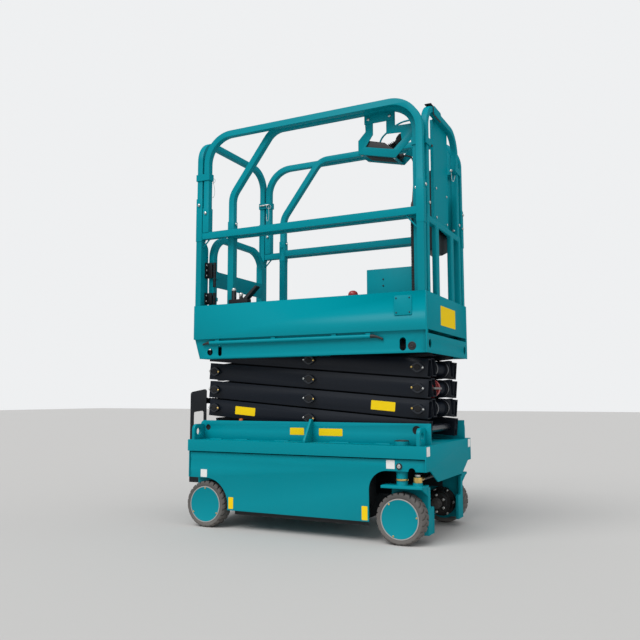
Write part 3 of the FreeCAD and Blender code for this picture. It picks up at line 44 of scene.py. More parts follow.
scene = bpy.context.scene
flanks = (("left", 1), ("right", -1))
print("frame loaded:", len(nodes), "nodes")

# Camera, floor and light

viewPlace = {"lens": 40.01, "sensor": 36, "place": (1.708, -3.4443, 0.6601), "pitch": 96.181, "yaw": 26.541,
             "roll": -0.081}
bpy.ops.object.camera_add(location=viewPlace["place"])
camera = bpy.context.object
camera.name = "photoView"
camera.data.lens = viewPlace["lens"]
camera.data.sensor_width = viewPlace["sensor"]
camera.rotation_euler = (math.radians(viewPlace["pitch"]), 0, math.radians(viewPlace["yaw"]))
camera.rotation_euler.rotate_axis("Z", math.radians(viewPlace["roll"]))
scene.camera = camera
scene.view_settings.view_transform = "Standard"

lightValues = {"world": 0.5, "worldColour": (0.93, 0.96, 1.0), "key": 2.2, "keyTurn": (38, 0, -18),
               "keyAngle": 40,
               "fill": 0.9, "fillTurn": (52, 0, 74), "fillAngle": 90, "backdrop": (0.86, 0.87, 0.88),
               "floor": (0.5, 0.49, 0.475), "floorSize": 60, "floorDrop": 0.0005}
world = bpy.data.worlds.new("softRoom")
scene.world = world
world.use_nodes = True
tree = world.node_tree
tree.nodes.clear()
worldOut = tree.nodes.new("ShaderNodeOutputWorld")
lit = tree.nodes.new("ShaderNodeBackground")
lit.inputs["Color"].default_value = (*lightValues["worldColour"], 1)
lit.inputs["Strength"].default_value = lightValues["world"]
seen = tree.nodes.new("ShaderNodeBackground")
seen.inputs["Color"].default_value = (*lightValues["backdrop"], 1)
path = tree.nodes.new("ShaderNodeLightPath")
either = tree.nodes.new("ShaderNodeMath")
either.operation = "MAXIMUM"
mixer = tree.nodes.new("ShaderNodeMixShader")
for source, target in ((path.outputs["Is Camera Ray"], either.inputs[0]),
                       (path.outputs["Is Transmission Ray"], either.inputs[1]),
                       (either.outputs[0], mixer.inputs["Fac"]), (lit.outputs[0], mixer.inputs[1]),
                       (seen.outputs[0], mixer.inputs[2]), (mixer.outputs[0], worldOut.inputs["Surface"])):
    tree.links.new(source, target)
for lampName in ("key", "fill"):
    turn = [math.radians(a) for a in lightValues[lampName + "Turn"]]
    bpy.ops.object.light_add(type="SUN", rotation=turn)
    lamp = bpy.context.object
    lamp.name = lampName + "Light"
    lamp.data.energy = lightValues[lampName]
    lamp.data.angle = math.radians(lightValues[lampName + "Angle"])

# Shared effects


def newGroup(name, takes, gives):
    group = bpy.data.node_groups.new(name, "ShaderNodeTree")
    for label, value in takes:
        socket = group.interface.new_socket(name=label, in_out="INPUT", socket_type="NodeSocketFloat")
        socket.default_value = value
    for label, kind in gives:
        group.interface.new_socket(name=label, in_out="OUTPUT", socket_type=kind)
    entry = group.nodes.new("NodeGroupInput")
    leave = group.nodes.new("NodeGroupOutput")
    return group, entry, leave


def mathNode(tree, operation, first, second=None, third=None, clamp=False):
    step = tree.nodes.new("ShaderNodeMath")
    step.operation = operation
    step.use_clamp = clamp
    for index, value in enumerate((first, second, third)):
        if value is None:
            continue
        if isinstance(value, (int, float)):
            step.inputs[index].default_value = value
        else:
            tree.links.new(value, step.inputs[index])
    return step.outputs[0]


def noiseNode(tree, coordinates, scale, detail=3, roughness=0.55):
    noise = tree.nodes.new("ShaderNodeTexNoise")
    noise.inputs["Detail"].default_value = detail
    noise.inputs["Roughness"].default_value = roughness
    tree.links.new(coordinates, noise.inputs["Vector"])
    if isinstance(scale, (int, float)):
        noise.inputs["Scale"].default_value = scale
    else:
        tree.links.new(scale, noise.inputs["Scale"])
    return noise.outputs["Fac"]


def objectPlace(tree):
    return tree.nodes.new("ShaderNodeTexCoord").outputs["Object"]


def buildPeel():
    # fine ripple of a sprayed or moulded skin
    takes = [("Scale", 400), ("Depth", 0.1)]
    group, entry, leave = newGroup("skinRipple", takes, [("Normal", "NodeSocketVector")])
    ripple = noiseNode(group, objectPlace(group), entry.outputs["Scale"], 2)
    bump = group.nodes.new("ShaderNodeBump")
    bump.inputs["Distance"].default_value = 0.0006
    group.links.new(entry.outputs["Depth"], bump.inputs["Strength"])
    group.links.new(ripple, bump.inputs["Height"])
    group.links.new(bump.outputs["Normal"], leave.inputs["Normal"])
    return group


def buildDust():
    # pale dust that gathers low down and in soft patches
    takes = [("Top", 0.3), ("Amount", 0.3), ("Patches", 5)]
    group, entry, leave = newGroup("lowDust", takes, [("Mask", "NodeSocketFloat")])
    where = objectPlace(group)
    split = group.nodes.new("ShaderNodeSeparateXYZ")
    group.links.new(where, split.inputs[0])
    depth = mathNode(group, "DIVIDE", split.outputs["Z"], entry.outputs["Top"])
    low = mathNode(group, "SUBTRACT", 1.0, depth, clamp=True)
    patches = noiseNode(group, where, entry.outputs["Patches"], 5, 0.65)
    both = mathNode(group, "MULTIPLY_ADD", patches, 0.9, low)
    over = mathNode(group, "SUBTRACT", both, 0.55, clamp=True)
    mask = mathNode(group, "MULTIPLY", over, entry.outputs["Amount"], clamp=True)
    group.links.new(mask, leave.inputs["Mask"])
    return group


def buildScuffs():
    # thin rubbed lines
    takes = [("Scale", 6), ("Amount", 0.3)]
    group, entry, leave = newGroup("rubbedLines", takes, [("Mask", "NodeSocketFloat")])
    stretch = group.nodes.new("ShaderNodeMapping")
    stretch.inputs["Scale"].default_value = (1, 1, 9)
    stretch.inputs["Rotation"].default_value = (0.2, 0.35, 0.1)
    group.links.new(objectPlace(group), stretch.inputs["Vector"])
    lines = noiseNode(group, stretch.outputs[0], entry.outputs["Scale"], 8, 0.75)
    crests = mathNode(group, "SUBTRACT", lines, 0.62, clamp=True)
    sharp = mathNode(group, "MULTIPLY", crests, 9, clamp=True)
    group.links.new(mathNode(group, "MULTIPLY", sharp, entry.outputs["Amount"]), leave.inputs["Mask"])
    return group


def buildInside():
    # one inside a block of space, the same on both sides of the middle plane
    takes = [("LowX", -1), ("HighX", 1), ("LowY", 0), ("HighY", 1), ("LowZ", -1), ("HighZ", 1),
        ("Soft", 0.01)]
    group, entry, leave = newGroup("insideRegion", takes, [("Mask", "NodeSocketFloat")])
    split = group.nodes.new("ShaderNodeSeparateXYZ")
    group.links.new(objectPlace(group), split.inputs[0])
    away = mathNode(group, "ABSOLUTE", split.outputs["Y"])
    depths = []
    for value, letter in ((split.outputs["X"], "X"), (away, "Y"), (split.outputs["Z"], "Z")):
        depths.append(mathNode(group, "SUBTRACT", value, entry.outputs["Low" + letter]))
        depths.append(mathNode(group, "SUBTRACT", entry.outputs["High" + letter], value))
    least = depths[0]
    for depth in depths[1:]:
        least = mathNode(group, "MINIMUM", least, depth)
    edge = mathNode(group, "DIVIDE", least, entry.outputs["Soft"], clamp=True)
    group.links.new(edge, leave.inputs["Mask"])
    return group


skinRipple = buildPeel()
insideMask = buildInside()
lowDust = buildDust()
rubbedLines = buildScuffs()


def place(tree, group, **values):
    step = tree.nodes.new("ShaderNodeGroup")
    step.node_tree = group
    for label, value in values.items():
        step.inputs[label].default_value = value
    return step.outputs[0]


def colourMix(tree, mask, first, second):
    mix = tree.nodes.new("ShaderNodeMix")
    mix.data_type = "RGBA"
    for socket, value in ((mix.inputs[6], first), (mix.inputs[7], second)):
        if isinstance(value, tuple):
            socket.default_value = (*value, 1)
        else:
            tree.links.new(value, socket)
    tree.links.new(mask, mix.inputs[0])
    return mix.outputs[2]


finishes = {}


def makeFinish(name, look):
    material = bpy.data.materials.new(name)
    material.use_nodes = True
    tree = material.node_tree
    shader = tree.nodes["Principled BSDF"]
    shader.inputs["Metallic"].default_value = look.get("metal", 0)
    shader.inputs["Specular IOR Level"].default_value = look.get("specular", 0.5)
    tone = noiseNode(tree, objectPlace(tree), 2.5, 4)
    dark = tuple(c * look.get("darker", 0.9) for c in look["colour"])
    colour = colourMix(tree, tone, dark, look["colour"])
    rub = place(tree, rubbedLines, Scale=7, Amount=look.get("rub", 0.12))
    colour = colourMix(tree, rub, colour, look.get("rubColour", (0.45, 0.45, 0.44)))
    # a darker colour inside a block of space: painted shade in the front bays, the dark middle of the tie rod
    if "shade" in look:
        colour = colourMix(tree, place(tree, insideMask, **look["shadeBox"]), colour, look["shade"])
    dust = place(tree, lowDust, Top=0.35, Amount=look.get("dust", 0.25), Patches=6)
    colour = colourMix(tree, dust, colour, (0.34, 0.32, 0.29))
    tree.links.new(colour, shader.inputs["Base Color"])
    rough = mathNode(tree, "MULTIPLY_ADD", tone, 0.12, look["rough"])
    rough = mathNode(tree, "MULTIPLY_ADD", dust, 0.4, rough, clamp=True)
    tree.links.new(rough, shader.inputs["Roughness"])
    skin = place(tree, skinRipple, Scale=look.get("ripple", 350), Depth=look.get("depth", 0.12))
    tree.links.new(skin, shader.inputs["Normal"])
    if "gloss" in look:
        facing = tree.nodes.new("ShaderNodeLayerWeight").outputs["Facing"]
        inward = mathNode(tree, "POWER", mathNode(tree, "SUBTRACT", 1.0, facing, clamp=True), 2.0)
        shine = mathNode(tree, "MULTIPLY", inward, look["gloss"])
        tree.links.new(shine, shader.inputs["Specular IOR Level"])
    if "coat" in look:
        shader.inputs["Coat Weight"].default_value = look["coat"]
        shader.inputs["Coat Roughness"].default_value = 0.12
    finishes[name] = material


paintLooks = {
    "tealEnamel": {"colour": (0.0, 0.252, 0.306), "rough": 0.3, "depth": 0.06, "rub": 0.03,
                   "rubColour": (0.0, 0.34, 0.4), "dust": 0.012, "darker": 0.93, "gloss": 0.13},
    "motorBlack": {"colour": (0.006, 0.006, 0.007), "rough": 0.5, "depth": 0.3, "rub": 0.05, "dust": 0.05,
                   "specular": 0.25},
    "inkEnamel": {"colour": (0.005, 0.008, 0.014), "rough": 0.36, "depth": 0.1, "rub": 0.04, "dust": 0.012,
                  "rubColour": (0.03, 0.036, 0.048), "gloss": 0.3},
    "lockEnamel": {"colour": (0.01, 0.013, 0.019), "rough": 0.22, "depth": 0.08, "rub": 0.08, "dust": 0.01,
                   "specular": 0.5},
    "blackPaint": {"colour": (0.009, 0.011, 0.014), "rough": 0.42, "depth": 0.15, "rub": 0.06, "dust": 0.05,
                   "rubColour": (0.1, 0.1, 0.11), "gloss": 0.35},
    "dullGrey": {"colour": (0.15, 0.15, 0.145), "rough": 0.5, "depth": 0.15, "rub": 0.1, "dust": 0.1},
    "blackPlastic": {"colour": (0.014, 0.014, 0.016), "rough": 0.5, "ripple": 900, "depth": 0.35,
        "rub": 0.06},
    "greyRubber": {"colour": (0.078, 0.073, 0.072), "rough": 0.8, "ripple": 500, "depth": 0.5, "rub": 0.22,
                   "rubColour": (0.22, 0.21, 0.2), "dust": 0.38, "darker": 0.6, "specular": 0.2},
    "paleRim": {"colour": (0.36, 0.355, 0.345), "rough": 0.45, "depth": 0.1, "dust": 0.2},
    "zincSteel": {"colour": (0.62, 0.62, 0.6), "metal": 1.0, "rough": 0.28, "depth": 0.2, "rub": 0.2,
        "dust": 0.1},
    "passivatedGold": {"colour": (0.72, 0.5, 0.16), "metal": 1.0, "rough": 0.3, "depth": 0.15, "rub": 0.1,
                       "dust": 0.15},
    "redPaint": {"colour": (0.32, 0.012, 0.012), "rough": 0.38, "depth": 0.1, "coat": 0.2},
    "yellowFilm": {"colour": (0.93, 0.64, 0.0), "rough": 0.36, "depth": 0.03, "rub": 0.04, "dust": 0.02,
                   "gloss": 0.3},
    "whiteFilm": {"colour": (0.8, 0.8, 0.78), "rough": 0.38, "depth": 0.03, "rub": 0.05, "dust": 0.08},
    "orangeRubber": {"colour": (0.55, 0.12, 0.01), "rough": 0.55, "depth": 0.1},
    "wireJacket": {"colour": (0.62, 0.63, 0.62), "rough": 0.35, "depth": 0.05, "specular": 0.6},
    # near black: painted shade of holes and hollows
    "hollowShade": {"colour": (0.004, 0.004, 0.005), "rough": 0.8, "depth": 0.1, "rub": 0, "dust": 0.05},
}
# the same paints: with painted shade inside the front bays, and dark in the middle of the tie rod
bayShadeBox = {"LowX": 0.38, "HighX": 0.693, "LowY": -1.0, "HighY": 0.338, "LowZ": 0.0, "HighZ": 0.436,
          "Soft": 0.004}
linkBox = {"LowY": -1.0, "HighY": 0.262, "Soft": 0.002}
paintLooks["bayShadeEnamel"] = {**paintLooks["tealEnamel"], "shade": (0.004, 0.008, 0.01), "shadeBox": bayShadeBox}
paintLooks["linkGold"] = {**paintLooks["passivatedGold"], "shade": (0.01, 0.01, 0.011), "shadeBox": linkBox}
for name, look in paintLooks.items():
    makeFinish(name, look)
print("finishes made:", len(finishes))

# Ways of working


def clearAll():
    if bpy.context.object and bpy.context.object.mode != "OBJECT":
        bpy.ops.object.mode_set(mode="OBJECT")
    bpy.ops.object.select_all(action="DESELECT")


def pickOnly(piece):
    clearAll()
    piece.select_set(True)
    bpy.context.view_layer.objects.active = piece


def softEdges(piece, width, segments=2, angle=32):
    pickOnly(piece)
    bevel = piece.modifiers.new("softEdges", "BEVEL")
    bevel.width = width
    bevel.segments = segments
    bevel.limit_method = "ANGLE"
    bevel.angle_limit = math.radians(angle)
    bpy.ops.object.modifier_apply(modifier=bevel.name)
    bpy.ops.object.shade_smooth_by_angle(angle=math.radians(36))


def settle(piece, finish, body):
    # the place goes into the mesh, then the piece gets its paint and its body
    pickOnly(piece)
    bpy.ops.object.transform_apply(location=True, rotation=True, scale=True)
    piece.data.materials.clear()
    piece.data.materials.append(finishes[finish])
    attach(piece, body)
    return piece


def settleSoft(piece, width, finish, body, segments=2, angle=40):
    softEdges(piece, width, segments, angle)
    return settle(piece, finish, body)


def settleSmooth(piece, degrees, finish, body):
    pickOnly(piece)
    bpy.ops.object.shade_smooth_by_angle(angle=math.radians(degrees))
    return settle(piece, finish, body)


def joinAll(name, parts):
    clearAll()
    for part in parts:
        part.select_set(True)
    bpy.context.view_layer.objects.active = parts[0]
    if len(parts) > 1:
        bpy.ops.object.join()
    whole = bpy.context.object
    whole.name = name
    return whole


def dressNode(node, finish, width, segments=2):
    # a copy of the solid with its facets merged and its edges rounded stands for it
    copy = bpy.data.objects.new(node + "Finished", nodes[node].data.copy())
    scene.collection.objects.link(copy)
    pickOnly(copy)
    bpy.ops.object.mode_set(mode="EDIT")
    bpy.ops.mesh.select_all(action="SELECT")
    bpy.ops.mesh.remove_doubles(threshold=0.00002)
    bpy.ops.mesh.dissolve_limited(angle_limit=math.radians(0.6))
    bpy.ops.object.mode_set(mode="OBJECT")
    softEdges(copy, width, segments)
    settle(copy, finish, bodyOf[node])
    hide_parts(node)
    return copy


def drawLine(name, points, radius, rings, steps):
    # a smooth line with a round section
    curve = bpy.data.curves.new(name, "CURVE")
    curve.dimensions = "3D"
    curve.bevel_depth = radius
    curve.bevel_resolution = rings
    curve.resolution_u = steps
    spline = curve.splines.new("NURBS")
    spline.points.add(len(points) - 1)
    for point, at in zip(spline.points, points):
        point.co = (*at, 1)
    spline.order_u = 3
    spline.use_endpoint_u = True
    line = bpy.data.objects.new(name, curve)
    scene.collection.objects.link(line)
    return line


def addWire(name, points, radius, rings, steps, finish, body):
    # such a line, made a mesh
    pickOnly(drawLine(name, points, radius, rings, steps))
    bpy.ops.object.convert(target="MESH")
    wire = bpy.context.object
    wire.name = name
    pickOnly(wire)
    bpy.ops.object.shade_smooth()
    return settle(wire, finish, body)


def addProfile(name, corners, closed=False):
    # an empty mesh with a drawn outline, ready to spin or extrude
    clearAll()
    bpy.ops.mesh.primitive_plane_add(size=1)
    shape = bpy.context.object
    shape.name = name
    bpy.ops.object.mode_set(mode="EDIT")
    bpy.ops.mesh.select_all(action="SELECT")
    bpy.ops.mesh.delete(type="VERT")
    bpy.ops.object.mode_set(mode="OBJECT")
    last = len(corners) if closed else len(corners) - 1
    shape.data.from_pydata(corners, [(i, (i + 1) % len(corners)) for i in range(last)], [])
    bpy.ops.object.mode_set(mode="EDIT")
    bpy.ops.mesh.select_all(action="SELECT")
    return shape


def spinShut(centre, axis, steps):
    # the drawn outline goes once round, and its seam and poles are closed
    bpy.ops.mesh.spin(steps=steps, angle=2 * math.pi, center=centre, axis=axis)
    bpy.ops.mesh.select_all(action="SELECT")
    bpy.ops.mesh.remove_doubles(threshold=0.00003)
    bpy.ops.mesh.normals_make_consistent(inside=False)
    bpy.ops.object.mode_set(mode="OBJECT")


def spinRound(name, profile, axle, steps, side=1, closed=True):
    # profile is radius and distance out from the middle plane, spun about the axle's x and z
    shape = addProfile(name, [(axle[0], side * out, axle[1] + radius) for radius, out in profile], closed)
    spinShut((axle[0], 0, axle[1]), (0, 1, 0), steps)
    return shape


def spinUp(name, profile, centre, steps, closed=True):
    # profile is radius and height, spun about an upright axis
    shape = addProfile(name, [(centre[0] + radius, centre[1], z) for radius, z in profile], closed)
    spinShut((centre[0], centre[1], 0), (0, 0, 1), steps)
    return shape


def pickTop(piece):
    # in edit mode, with only the faces that look straight up selected
    bpy.ops.object.mode_set(mode="EDIT")
    bpy.ops.mesh.select_mode(type="FACE")
    bpy.ops.mesh.select_all(action="DESELECT")
    bpy.ops.object.mode_set(mode="OBJECT")
    for face in piece.data.polygons:
        face.select = face.normal.z > 0.9
    bpy.ops.object.mode_set(mode="EDIT")


headValues = {"inset": 0.35, "dish": 0.3}
turnTo = {"x": {1: (0, math.pi / 2, 0), -1: (0, -math.pi / 2, 0)},
          "y": {1: (-math.pi / 2, 0, 0), -1: (math.pi / 2, 0, 0)},
          "z": {1: (0, 0, 0), -1: (math.pi, 0, 0)}}


def addBoltHead(name, at, turn, radius, height, corners):
    # a head with rounded rim and a dished crown; it stands along its own z before the turn
    clearAll()
    bpy.ops.mesh.primitive_cylinder_add(vertices=corners, radius=radius, depth=height, location=at,
        rotation=turn)
    head = bpy.context.object
    head.name = name
    pickTop(head)
    bpy.ops.mesh.inset(thickness=radius * headValues["inset"], depth=height * headValues["dish"])
    bpy.ops.object.mode_set(mode="OBJECT")
    pickOnly(head)
    bpy.ops.object.transform_apply(location=True, rotation=True, scale=True)
    return head


def addHeads(name, places, axis, way, radius, height, finish, body, corners=6, soft=0.0006):
    # one head at each place, the place being the middle of its foot
    heads = []
    for index, at in enumerate(places):
        centre = list(at)
        centre["xyz".index(axis)] += way * height / 2
        heads.append(addBoltHead("%s%d" % (name, index), centre, turnTo[axis][way], radius, height, corners))
    return settleSoft(joinAll(name, heads), soft, finish, body, 2, 28)


def onCircle(centre, radius, degrees, out):
    # a point round an axle, at a distance out from the middle plane
    a = math.radians(degrees)
    return (centre[0] + radius * math.cos(a), out, centre[1] + radius * math.sin(a))


def addPad(name, plane, face, low, high, thick, corner, soft=0, rounds=6, lean=0):
    # a sheet with rounded corners lying on a face; negative thick goes the other way
    clearAll()
    bpy.ops.mesh.primitive_plane_add(size=1)
    pad = bpy.context.object
    pad.name = name
    pad.scale = (high[0] - low[0], high[1] - low[1], 1)
    bpy.ops.object.transform_apply(location=False, rotation=False, scale=True)
    bpy.ops.object.mode_set(mode="EDIT")
    bpy.ops.mesh.select_all(action="SELECT")
    bpy.ops.mesh.bevel(offset=corner, segments=rounds, affect="VERTICES")
    bpy.ops.mesh.extrude_region_move(TRANSFORM_OT_translate={"value": (0, 0, abs(thick))})
    bpy.ops.mesh.select_all(action="SELECT")
    bpy.ops.mesh.normals_make_consistent(inside=False)
    bpy.ops.object.mode_set(mode="OBJECT")
    across, up = [(low[i] + high[i]) / 2 for i in (0, 1)]
    way = 1 if thick > 0 else -1
    quarter = math.radians(90)
    turns = {"y": Matrix.Rotation(math.radians(lean), 4, "Y") @ Matrix.Rotation(-quarter * way, 4, "X"),
             "x": Matrix.Rotation(quarter, 4, "Z") @ Matrix.Rotation(quarter * way, 4, "X"),
             "z": Matrix.Rotation(0 if way > 0 else math.pi, 4, "X")}
    spots = {"y": (across, face, up), "x": (face, across, up), "z": (across, up, face)}
    pad.matrix_world = Matrix.Translation(spots[plane]) @ turns[plane]
    if soft:
        softEdges(pad, soft, 2, 40)
    return pad


def addPads(body, rows):
    # each row: what addPad takes, then the finish and the slot
    for row in rows:
        settle(addPad(*row[:-2]), row[-2], body)


# Places that several pieces share, read off the solids

machine = {"frontAxle": 0.57, "rearAxle": -0.486, "axleHeight": 0.115, "kingpin": 0.331, "pivot": 0.627,
           "pivotHeight": 0.5077, "arm": 1.146, "rest": 4.84}
frontAxle = (machine["frontAxle"], machine["axleHeight"])

# Control cable

cableValues = {"route": ((0.548, -0.192, 1.852), (0.586, -0.198, 1.846), (0.61, -0.214, 1.806),
                         (0.618, -0.232, 1.742), (0.618, -0.246, 1.672), (0.613, -0.25, 1.596)),
               "diameter": 0.008}


def makeCable():
    cable = drawLine("controlCable", cableValues["route"], cableValues["diameter"] / 2, 6, 12)
    cable.data.materials.append(finishes["blackPlastic"])
    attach(cable, "extension")
    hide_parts("control_cable")


makeCable()

# Solids with rounded edges: names, finish, width of the edge, slot, segments

arms = tuple("%s_arms_%d" % (kind, level) for level in (1, 2, 3, 4) for kind in ("outer", "inner"))
dressed = (
    (("side_rail_left", "side_rail_right", "extension_rail_left", "extension_rail_right", "rear_rail",
      "extension_front_rail"), "tealEnamel", 0.0045, "teal", 3),
    (("gate",), "tealEnamel", 0.0016, "teal", 2),
    # the chassis's paint has painted shade inside the front bays
    (("chassis_frame",), "bayShadeEnamel", 0.0014, "teal", 2),
    (("deck_frame",), "tealEnamel", 0.001, "teal", 2),
    (("side_door_left", "side_door_right"), "tealEnamel", 0.0012, "teal", 2),
    (("ladder",), "blackPaint", 0.0012, "black", 2),
    (("yoke_left", "yoke_right"), "tealEnamel", 0.0014, "teal", 2),
    (("extension_toe_board",), "tealEnamel", 0.0012, "teal", 2),
    (("control_bracket",), "tealEnamel", 0.001, "teal", 2),
    (("accessory_box",), "tealEnamel", 0.0016, "teal", 2),
    (("manual_box", "control_box"), "blackPlastic", 0.005, "plastic", 3),
    (arms, "inkEnamel", 0.0016, "arm_blue", 2),
)
for group, finish, width, slotName, segments in dressed:
    for node in group:
        dressNode(node, finish, width, segments)
print("solids dressed:", sum(len(row[0]) for row in dressed))

# the other solids only get a paint
plainFinish = {"kingpin_bosses": "tealEnamel", "pothole_guards": "blackPaint", "battery_pack": "blackPlastic",
               "hydraulic_unit": "blackPlastic", "rear_axle": "zincSteel", "base_shaft": "lockEnamel",
               "lift_barrel": "blackPaint", "lift_rod": "zincSteel",
               "rear_rail_bands": "tealEnamel", "front_rail_bands": "tealEnamel", "gate_hinges": "blackPaint",
               "gate_latch": "tealEnamel", "extension_floor": "tealEnamel", "front_sheet": "tealEnamel",
               "cable_plug": "blackPlastic", "side_duct": "tealEnamel"}
for side, way in flanks:
    for end in ("rear", "front"):
        plainFinish["%s_tyre_%s" % (end, side)] = "greyRubber"
        plainFinish["%s_hub_%s" % (end, side)] = "tealEnamel"
for node, finish in plainFinish.items():
    nodes[node].data.materials.clear()
    nodes[node].data.materials.append(finishes[finish])

# Wheels: notched solid tyres, painted covers with a pale rim ring and three screws

wheelValues = {"radius": 0.115, "inner": 0.295, "outer": 0.375, "rim": 0.09, "cover": 0.0862, "lugs": 24,
               "lugDepth": 0.0062, "sweep": 9.0, "shoulder": 0.1075, "screwCircle": 0.0812,
                   "firstScrews": (90, 8)}


def addTyre(name, axle, side):
    v = wheelValues
    rim, shoulder, inner, outer = v["rim"], v["shoulder"], v["inner"], v["outer"]
    middle = (inner + outer) / 2
    half = (outer - inner) / 2
    tread = [(v["radius"], middle + half * f) for f in (-0.78, -0.52, -0.28, -0.06, 0.06, 0.28, 0.52, 0.78)]
    wall = [(rim + 0.001, inner + 0.0015), (rim + 0.006, inner), (shoulder, inner)]
    outside = [(shoulder, outer), (rim + 0.006, outer), (rim + 0.001, outer - 0.0015)]
    tyre = spinRound(name, wall + tread + outside, axle, v["lugs"] * 4, side)
    mesh = tyre.data
    cut = []
    for face in mesh.polygons:
        dx, dz = face.center.x - axle[0], face.center.z - axle[1]
        out = abs(abs(face.center.y) - middle) / half
        column = int((math.degrees(math.atan2(dz, dx)) % 360) / (90 / v["lugs"]))
        turn = 0 if abs(face.center.y) > middle else 2
        cut.append(math.hypot(dx, dz) > shoulder + 0.002 and out > 0.1 and column % 4 == turn)
    mesh.polygons.foreach_set("select", cut)
    mesh.edges.foreach_set("select", [False] * len(mesh.edges))
    mesh.vertices.foreach_set("select", [False] * len(mesh.vertices))
    pickOnly(tyre)
    bpy.ops.object.mode_set(mode="EDIT")
    bpy.ops.mesh.select_mode(type="FACE")
    bpy.ops.mesh.extrude_region_shrink_fatten(TRANSFORM_OT_shrink_fatten={"value": -v["lugDepth"]})
    bpy.ops.object.mode_set(mode="OBJECT")
    for vertex in mesh.vertices:
        # each groove leans back from the shoulder to the middle
        lean = math.radians(v["sweep"]) * (1 - abs(abs(vertex.co.y) - middle) / half)
        dx, dz = vertex.co.x - axle[0], vertex.co.z - axle[1]
        vertex.co.x = axle[0] + dx * math.cos(lean) - dz * math.sin(lean)
        vertex.co.z = axle[1] + dx * math.sin(lean) + dz * math.cos(lean)
    softEdges(tyre, 0.0009, 2, 40)
    return tyre


def makeWheels():
    v = wheelValues
    rim, cover, out = v["rim"], v["cover"], v["outer"]
    for end, start in zip(("rear", "front"), v["firstScrews"]):
        axle = (machine[end + "Axle"], machine["axleHeight"])
        for name, side in flanks:
            body = "%s_wheel_%s" % (end, name)
            title = end + "%s_" + name
            tyre = addTyre(title % "Tyre", axle, side)
            settle(tyre, "greyRubber", body)
            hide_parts("%s_tyre_%s" % (end, name))
            ring = spinRound(title % "RimRing", [(cover, out - 0.004), (cover, out + 0.0004),
                (rim + 0.0008, out + 0.0004), (rim + 0.0012, out - 0.002)], axle, 96, side)
            settleSoft(ring, 0.0004, "paleRim", body)
            disc = spinRound(title % "Cover", [(0.0, out - 0.0032), (cover - 0.0004, out - 0.0032),
                (cover - 0.0004, out - 0.0006), (cover - 0.003, out - 0.0006), (cover - 0.0042, out - 0.0012),
                (0.0, out - 0.0012)], axle, 96, side, False)
            settleSmooth(disc, 30, "tealEnamel", body)
            screws = [onCircle(axle, v["screwCircle"], start + 120 * k,
                side * (out - 0.0014)) for k in range(3)]
            addHeads(title % "CoverScrews", screws, "y", side, 0.0042, 0.0022, "passivatedGold", body,
                12, 0.0004)


makeWheels()
print("wheels made")

# Drive motors and steering

motorValues = {"circles": ((0.067, 0.255, 0), (0.042, 0.177, 30)), "bolts": 6, "bolt": 0.0072}


def makeMotors():
    v = motorValues
    for name, side in flanks:
        body = "knuckle_" + name
        bolts = []
        for circle, face, start in v["circles"]:
            bolts += [onCircle(frontAxle, circle, start + 360 / v["bolts"] * k,
                side * face) for k in range(v["bolts"])]
        addHeads("motorBolts_" + name, bolts, "y", -side, v["bolt"], 0.007, "zincSteel", body, 18,
            0.0009)
        cap = spinRound("motorCap_" + name, [(0.0, 0.1785), (0.028, 0.1785), (0.028, 0.1725), (0.025, 0.1705),
            (0.016, 0.1705), (0.014, 0.168), (0.0, 0.168)], frontAxle, 48, side, False)
        settleSoft(cap, 0.0006, "blackPlastic", body, 2, 32)
        dressNode("drive_motor_" + name, "motorBlack", 0.0022, 3)
        washer = spinUp("kingpinRing_" + name, [(0.0262, 0.283), (0.0292, 0.283), (0.0292, 0.291),
            (0.0262, 0.291)], (machine["frontAxle"], side * machine["kingpin"]), 64)
        settleSoft(washer, 0.0005, "passivatedGold", body, 2, 32)


def makeTieRod():
    dressNode("tie_rod", "linkGold", 0.0018, 3)
    for name, side in flanks:
        addHeads("tieRodNut_" + name, [(0.644, side * machine["kingpin"], 0.3035)], "z", 1, 0.0135, 0.0085,
            "zincSteel", "knuckle_" + name)


makeMotors()
makeTieRod()
print("steering made")

# Scissor pins: a lock plate with one brass and one bright screw over every head

pinValues = {"face": 0.262, "plate": 0.0235, "thick": 0.005, "cap": 0.0145, "screw": 0.0055,
             "screwReach": 0.0275}


def addLockPlate(at, side):
    v = pinValues
    clearAll()
    bpy.ops.mesh.primitive_cylinder_add(vertices=40, radius=v["plate"], depth=v["thick"], location=(0, 0, 0))
    plate = bpy.context.object
    for vertex in plate.data.vertices:
        # the round plate is drawn out to a rounded point at each end
        reach = abs(vertex.co.x) / v["plate"]
        vertex.co.x *= 1 + 0.42 * reach ** 3
        vertex.co.y *= 1 - 0.12 * reach
    pickTop(plate)
    bpy.ops.mesh.inset(thickness=0.0075, depth=0)
    bpy.ops.mesh.inset(thickness=0.0012, depth=-0.0028)
    bpy.ops.object.mode_set(mode="OBJECT")
    plate.rotation_euler = turnTo["y"][side]
    plate.rotation_euler.rotate_axis("Z", side * math.radians(machine["rest"]))
    plate.location = (at[0], side * (v["face"] + v["thick"] / 2), at[1])
    pickOnly(plate)
    bpy.ops.object.transform_apply(location=True, rotation=True, scale=True)
    return plate


